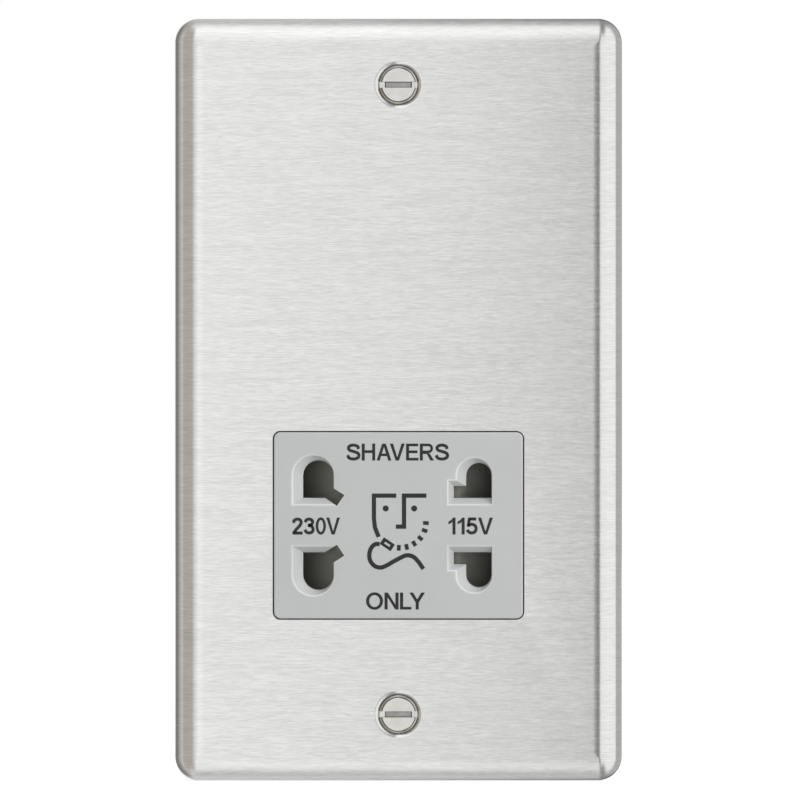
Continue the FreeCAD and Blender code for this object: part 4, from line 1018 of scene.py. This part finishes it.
# Internal leads
# Insulated stranded wire, bent by hand between the terminals, the windings and the contacts: brown for
# the mains, red for the taps of the secondary, green for the plate's earth.
LEAD_SHARP = 70
LEAD_COLOURS = {
    "primary_leads": ("lead_brown", (0.14, 0.055, 0.02), (0.20, 0.08, 0.03)),
    "secondary_leads": ("lead_red", (0.42, 0.03, 0.02), (0.52, 0.05, 0.03)),
    "earth_lead": ("lead_green", (0.07, 0.28, 0.05), (0.12, 0.40, 0.08)),
}
for name, colours in LEAD_COLOURS.items():
    dress(name, moulded(*colours, roughness=0.3), LEAD_SHARP)

# Studio
# A plain pale floor that shows the object's shadow and isn't mirrored in the metal, white behind it for
# the camera, and three soft lamps. The metal mirrors soft cards that stand all round in the world.
FLOOR_GAP = 0.02
FLOOR_LEVEL = plate_low[2] - FLOOR_GAP
FLOOR_SIZE = 6.0
FLOOR_SEEN = 0.6
FLOOR_MIRRORED = 0.25
floor_mesh = bmesh.new()
bmesh.ops.create_grid(floor_mesh, x_segments=8, y_segments=8, size=FLOOR_SIZE / 2)
bmesh.ops.translate(floor_mesh, verts=floor_mesh.verts, vec=(0.0, 0.0, FLOOR_LEVEL * MM))
floor_data = bpy.data.meshes.new("floor")
floor_mesh.to_mesh(floor_data)
floor_mesh.free()
floor = bpy.data.objects.new("floor", floor_data)
bpy.context.scene.collection.objects.link(floor)
floor_white, floor_shader, add, link = new_finish("floor_white")
path = add("ShaderNodeLightPath").outputs
reflections = {0: path["Is Glossy Ray"], 1: path["Is Transmission Ray"]}
mirrored = add("ShaderNodeMath", reflections, operation="MAXIMUM")
mirrored_glow = add("ShaderNodeMath", {0: mirrored.outputs["Value"], 1: FLOOR_MIRRORED}, operation="MULTIPLY")
seen_glow = add("ShaderNodeMath", {0: path["Is Camera Ray"], 1: FLOOR_SEEN}, operation="MULTIPLY")
glow = add("ShaderNodeMath", {0: mirrored_glow.outputs["Value"], 1: seen_glow.outputs["Value"]})
floor_shader.inputs["Base Color"].default_value = (0.8, 0.8, 0.8, 1.0)
floor_shader.inputs["Roughness"].default_value = 0.9
floor_shader.inputs["Emission Color"].default_value = (1.0, 1.0, 1.0, 1.0)
link(glow.outputs["Value"], floor_shader.inputs["Emission Strength"])
floor_data.materials.append(floor_white)
floor.visible_glossy = False

world = bpy.data.worlds.new("studio")
bpy.context.scene.world = world
world.use_nodes = True
backdrop = world.node_tree.nodes["Background"]


def grey(level):
    return (level, level, level, 1.0)


# Each card has its turn from straight ahead and its climb, in degrees, each with the softness of its edges.
CARDS = {
    "box_above": ((-90, 90), 30, (14, 80), 26, grey(1.41)),
    "board_below": ((-90, 90), 30, (-64, -16), 20, grey(1.15)),
    "under": ((-200, 200), 10, (-100, -72), 26, grey(0.66)),
    "behind_left": ((-190, -100), 10, (30, 100), 30, grey(0.7)),
    "behind_right": ((100, 190), 10, (30, 100), 30, grey(0.6)),
    "box_right": ((12, 94), 6, (-50, 50), 30, grey(1.17)),
    "window_left": ((-10, -3), 2, (-50, 40), 30, grey(1.2)),
    "flag_left": ((-160, -23), 26, (-60, 66), 30, (0.57, 0.528, 0.49, 1.0)),
    "strip_left": ((-97, -83), 8, (-60, 45), 30, (0.73, 0.72, 0.7, 1.0)),
    "dark_left": ((-158, -114), 24, (-50, 40), 30, (0.27, 0.265, 0.26, 1.0)),
    "flag_right": ((95, 162), 6, (-60, 45), 30, (0.57, 0.57, 0.565, 1.0)),
}
WORLD_FILL = grey(0.5)
MIRRORED_FRONT = grey(0.96)
WHITE = grey(1.0)
# Far behind, and in narrow gaps, a card is placed by its lean to the side instead of its turn.
BEHIND_AWAY = (125, 40)
BEHIND_LEANS = (-12, 25)
BEHIND_SOFTNESS = 8
BEHIND_CHANGE = (0.5, 7.0)
BEHIND_LIGHT = grey(0.8)
BEHIND_DARK = grey(0.2)
CORNER_LEANS = (7.0, 28.0)
CORNER_SOFTNESS = 14.0
CORNER_CLIMB = (34, 30)
CORNER_GREY = grey(0.36)
GAP_LEANS = (3.7, 10.2)
GAP_SOFTNESS = 3.6
GAP_CLIMBS = (-38, 38)
GAP_CLIMB_SOFTNESS = 30
GAP_GREY = grey(0.2)
add_to_world = node_adder(world.node_tree)


def math_node(operation, *values):
    """The result of one sum."""
    return add_to_world("ShaderNodeMath", dict(enumerate(values)), operation=operation).outputs["Value"]


def soft_step(value, edge, softness):
    """A rise from 0 to 1 as the value passes the edge."""
    limits = {"From Min": edge - softness / 2, "From Max": edge + softness / 2}
    step = add_to_world("ShaderNodeMapRange", {"Value": value, **limits}, interpolation_type="SMOOTHSTEP")
    return step.outputs["Result"]


def soft_band(value, limits, softness):
    """1 between the limits and 0 outside them, with soft edges."""
    rise = soft_step(value, limits[0], softness)
    fall = soft_step(value, limits[1], softness)
    return math_node("SUBTRACT", rise, fall)


def mix_colour(share, first, second):
    """The first colour where the share is 0, and the second where it is 1."""
    return add_to_world("ShaderNodeMix", {0: share, 6: first, 7: second}, data_type="RGBA").outputs[2]


direction = add_to_world("ShaderNodeTexCoord").outputs["Generated"]
parts = add_to_world("ShaderNodeSeparateXYZ", {"Vector": direction}).outputs
ahead = math_node("MULTIPLY", parts["Y"], -1.0)
turn = math_node("DEGREES", math_node("ARCTAN2", parts["X"], ahead))
climb = math_node("DEGREES", math_node("ARCSINE", parts["Z"]))
lean = math_node("DEGREES", math_node("ARCSINE", parts["X"]))
away = math_node("DEGREES", math_node("ARCCOSINE", ahead))
mirrored = MIRRORED_FRONT
for turns, turn_softness, climbs, climb_softness, colour in CARDS.values():
    across = soft_band(turn, turns, turn_softness)
    upright = soft_band(climb, climbs, climb_softness)
    mirrored = mix_colour(math_node("MULTIPLY", across, upright), mirrored, colour)
behind = math_node("MULTIPLY", soft_step(away, *BEHIND_AWAY), soft_band(lean, BEHIND_LEANS, BEHIND_SOFTNESS))
behind_colour = mix_colour(soft_step(lean, *BEHIND_CHANGE), BEHIND_LIGHT, BEHIND_DARK)
mirrored = mix_colour(behind, mirrored, behind_colour)
steep = soft_step(math_node("ABSOLUTE", climb), *CORNER_CLIMB)
corner = math_node("MULTIPLY", soft_band(lean, CORNER_LEANS, CORNER_SOFTNESS), steep)
mirrored = mix_colour(corner, mirrored, CORNER_GREY)
level = soft_band(climb, GAP_CLIMBS, GAP_CLIMB_SOFTNESS)
gap = math_node("MULTIPLY", soft_band(lean, GAP_LEANS, GAP_SOFTNESS), level)
mirrored = mix_colour(gap, mirrored, GAP_GREY)
path = add_to_world("ShaderNodeLightPath").outputs
reflected = math_node("MAXIMUM", path["Is Glossy Ray"], path["Is Transmission Ray"])
shade = mix_colour(reflected, WORLD_FILL, mirrored)
shade = mix_colour(path["Is Camera Ray"], shade, WHITE)
world.node_tree.links.new(shade, backdrop.inputs["Color"])
backdrop.inputs["Strength"].default_value = 1.0

LAMPS = {
    "key": ((1.0, -0.75, 0.25), (0.6, 0.8), 9.0),
    "top": ((0.1, -0.3, 1.0), (0.8, 0.5), 3.5),
    "back": ((0.3, 1.0, 0.5), (0.8, 0.6), 4.0),
}
for name, (spot, size, power) in LAMPS.items():
    light = bpy.data.lights.new(name, "AREA")
    light.shape = "RECTANGLE"
    light.size, light.size_y = size
    light.energy = power
    lamp = bpy.data.objects.new(name, light)
    bpy.context.scene.collection.objects.link(lamp)
    lamp.location = spot
    lamp.rotation_euler = (-Vector(spot)).to_track_quat("-Z", "Y").to_euler()
    lamp.visible_camera = False
    lamp.visible_glossy = False

# Camera
# It stands level and square to the plate, about 0.87 m off with a long lens, and a hair to the right of
# the middle.
LENS = 203.0
SENSOR = 36.0
FAR_LIMIT = 20.0
CAMERA_SPOT = (0.3, -869.8, -0.09)
camera_data = bpy.data.cameras.new("camera")
camera_data.lens = LENS
camera_data.sensor_width = SENSOR
camera_data.clip_end = FAR_LIMIT
camera = bpy.data.objects.new("camera", camera_data)
bpy.context.scene.collection.objects.link(camera)
camera.location = [value * MM for value in CAMERA_SPOT]
camera.rotation_euler = (math.pi / 2, 0.0, 0.0)
bpy.context.scene.camera = camera
bpy.context.scene.view_settings.view_transform = "Standard"
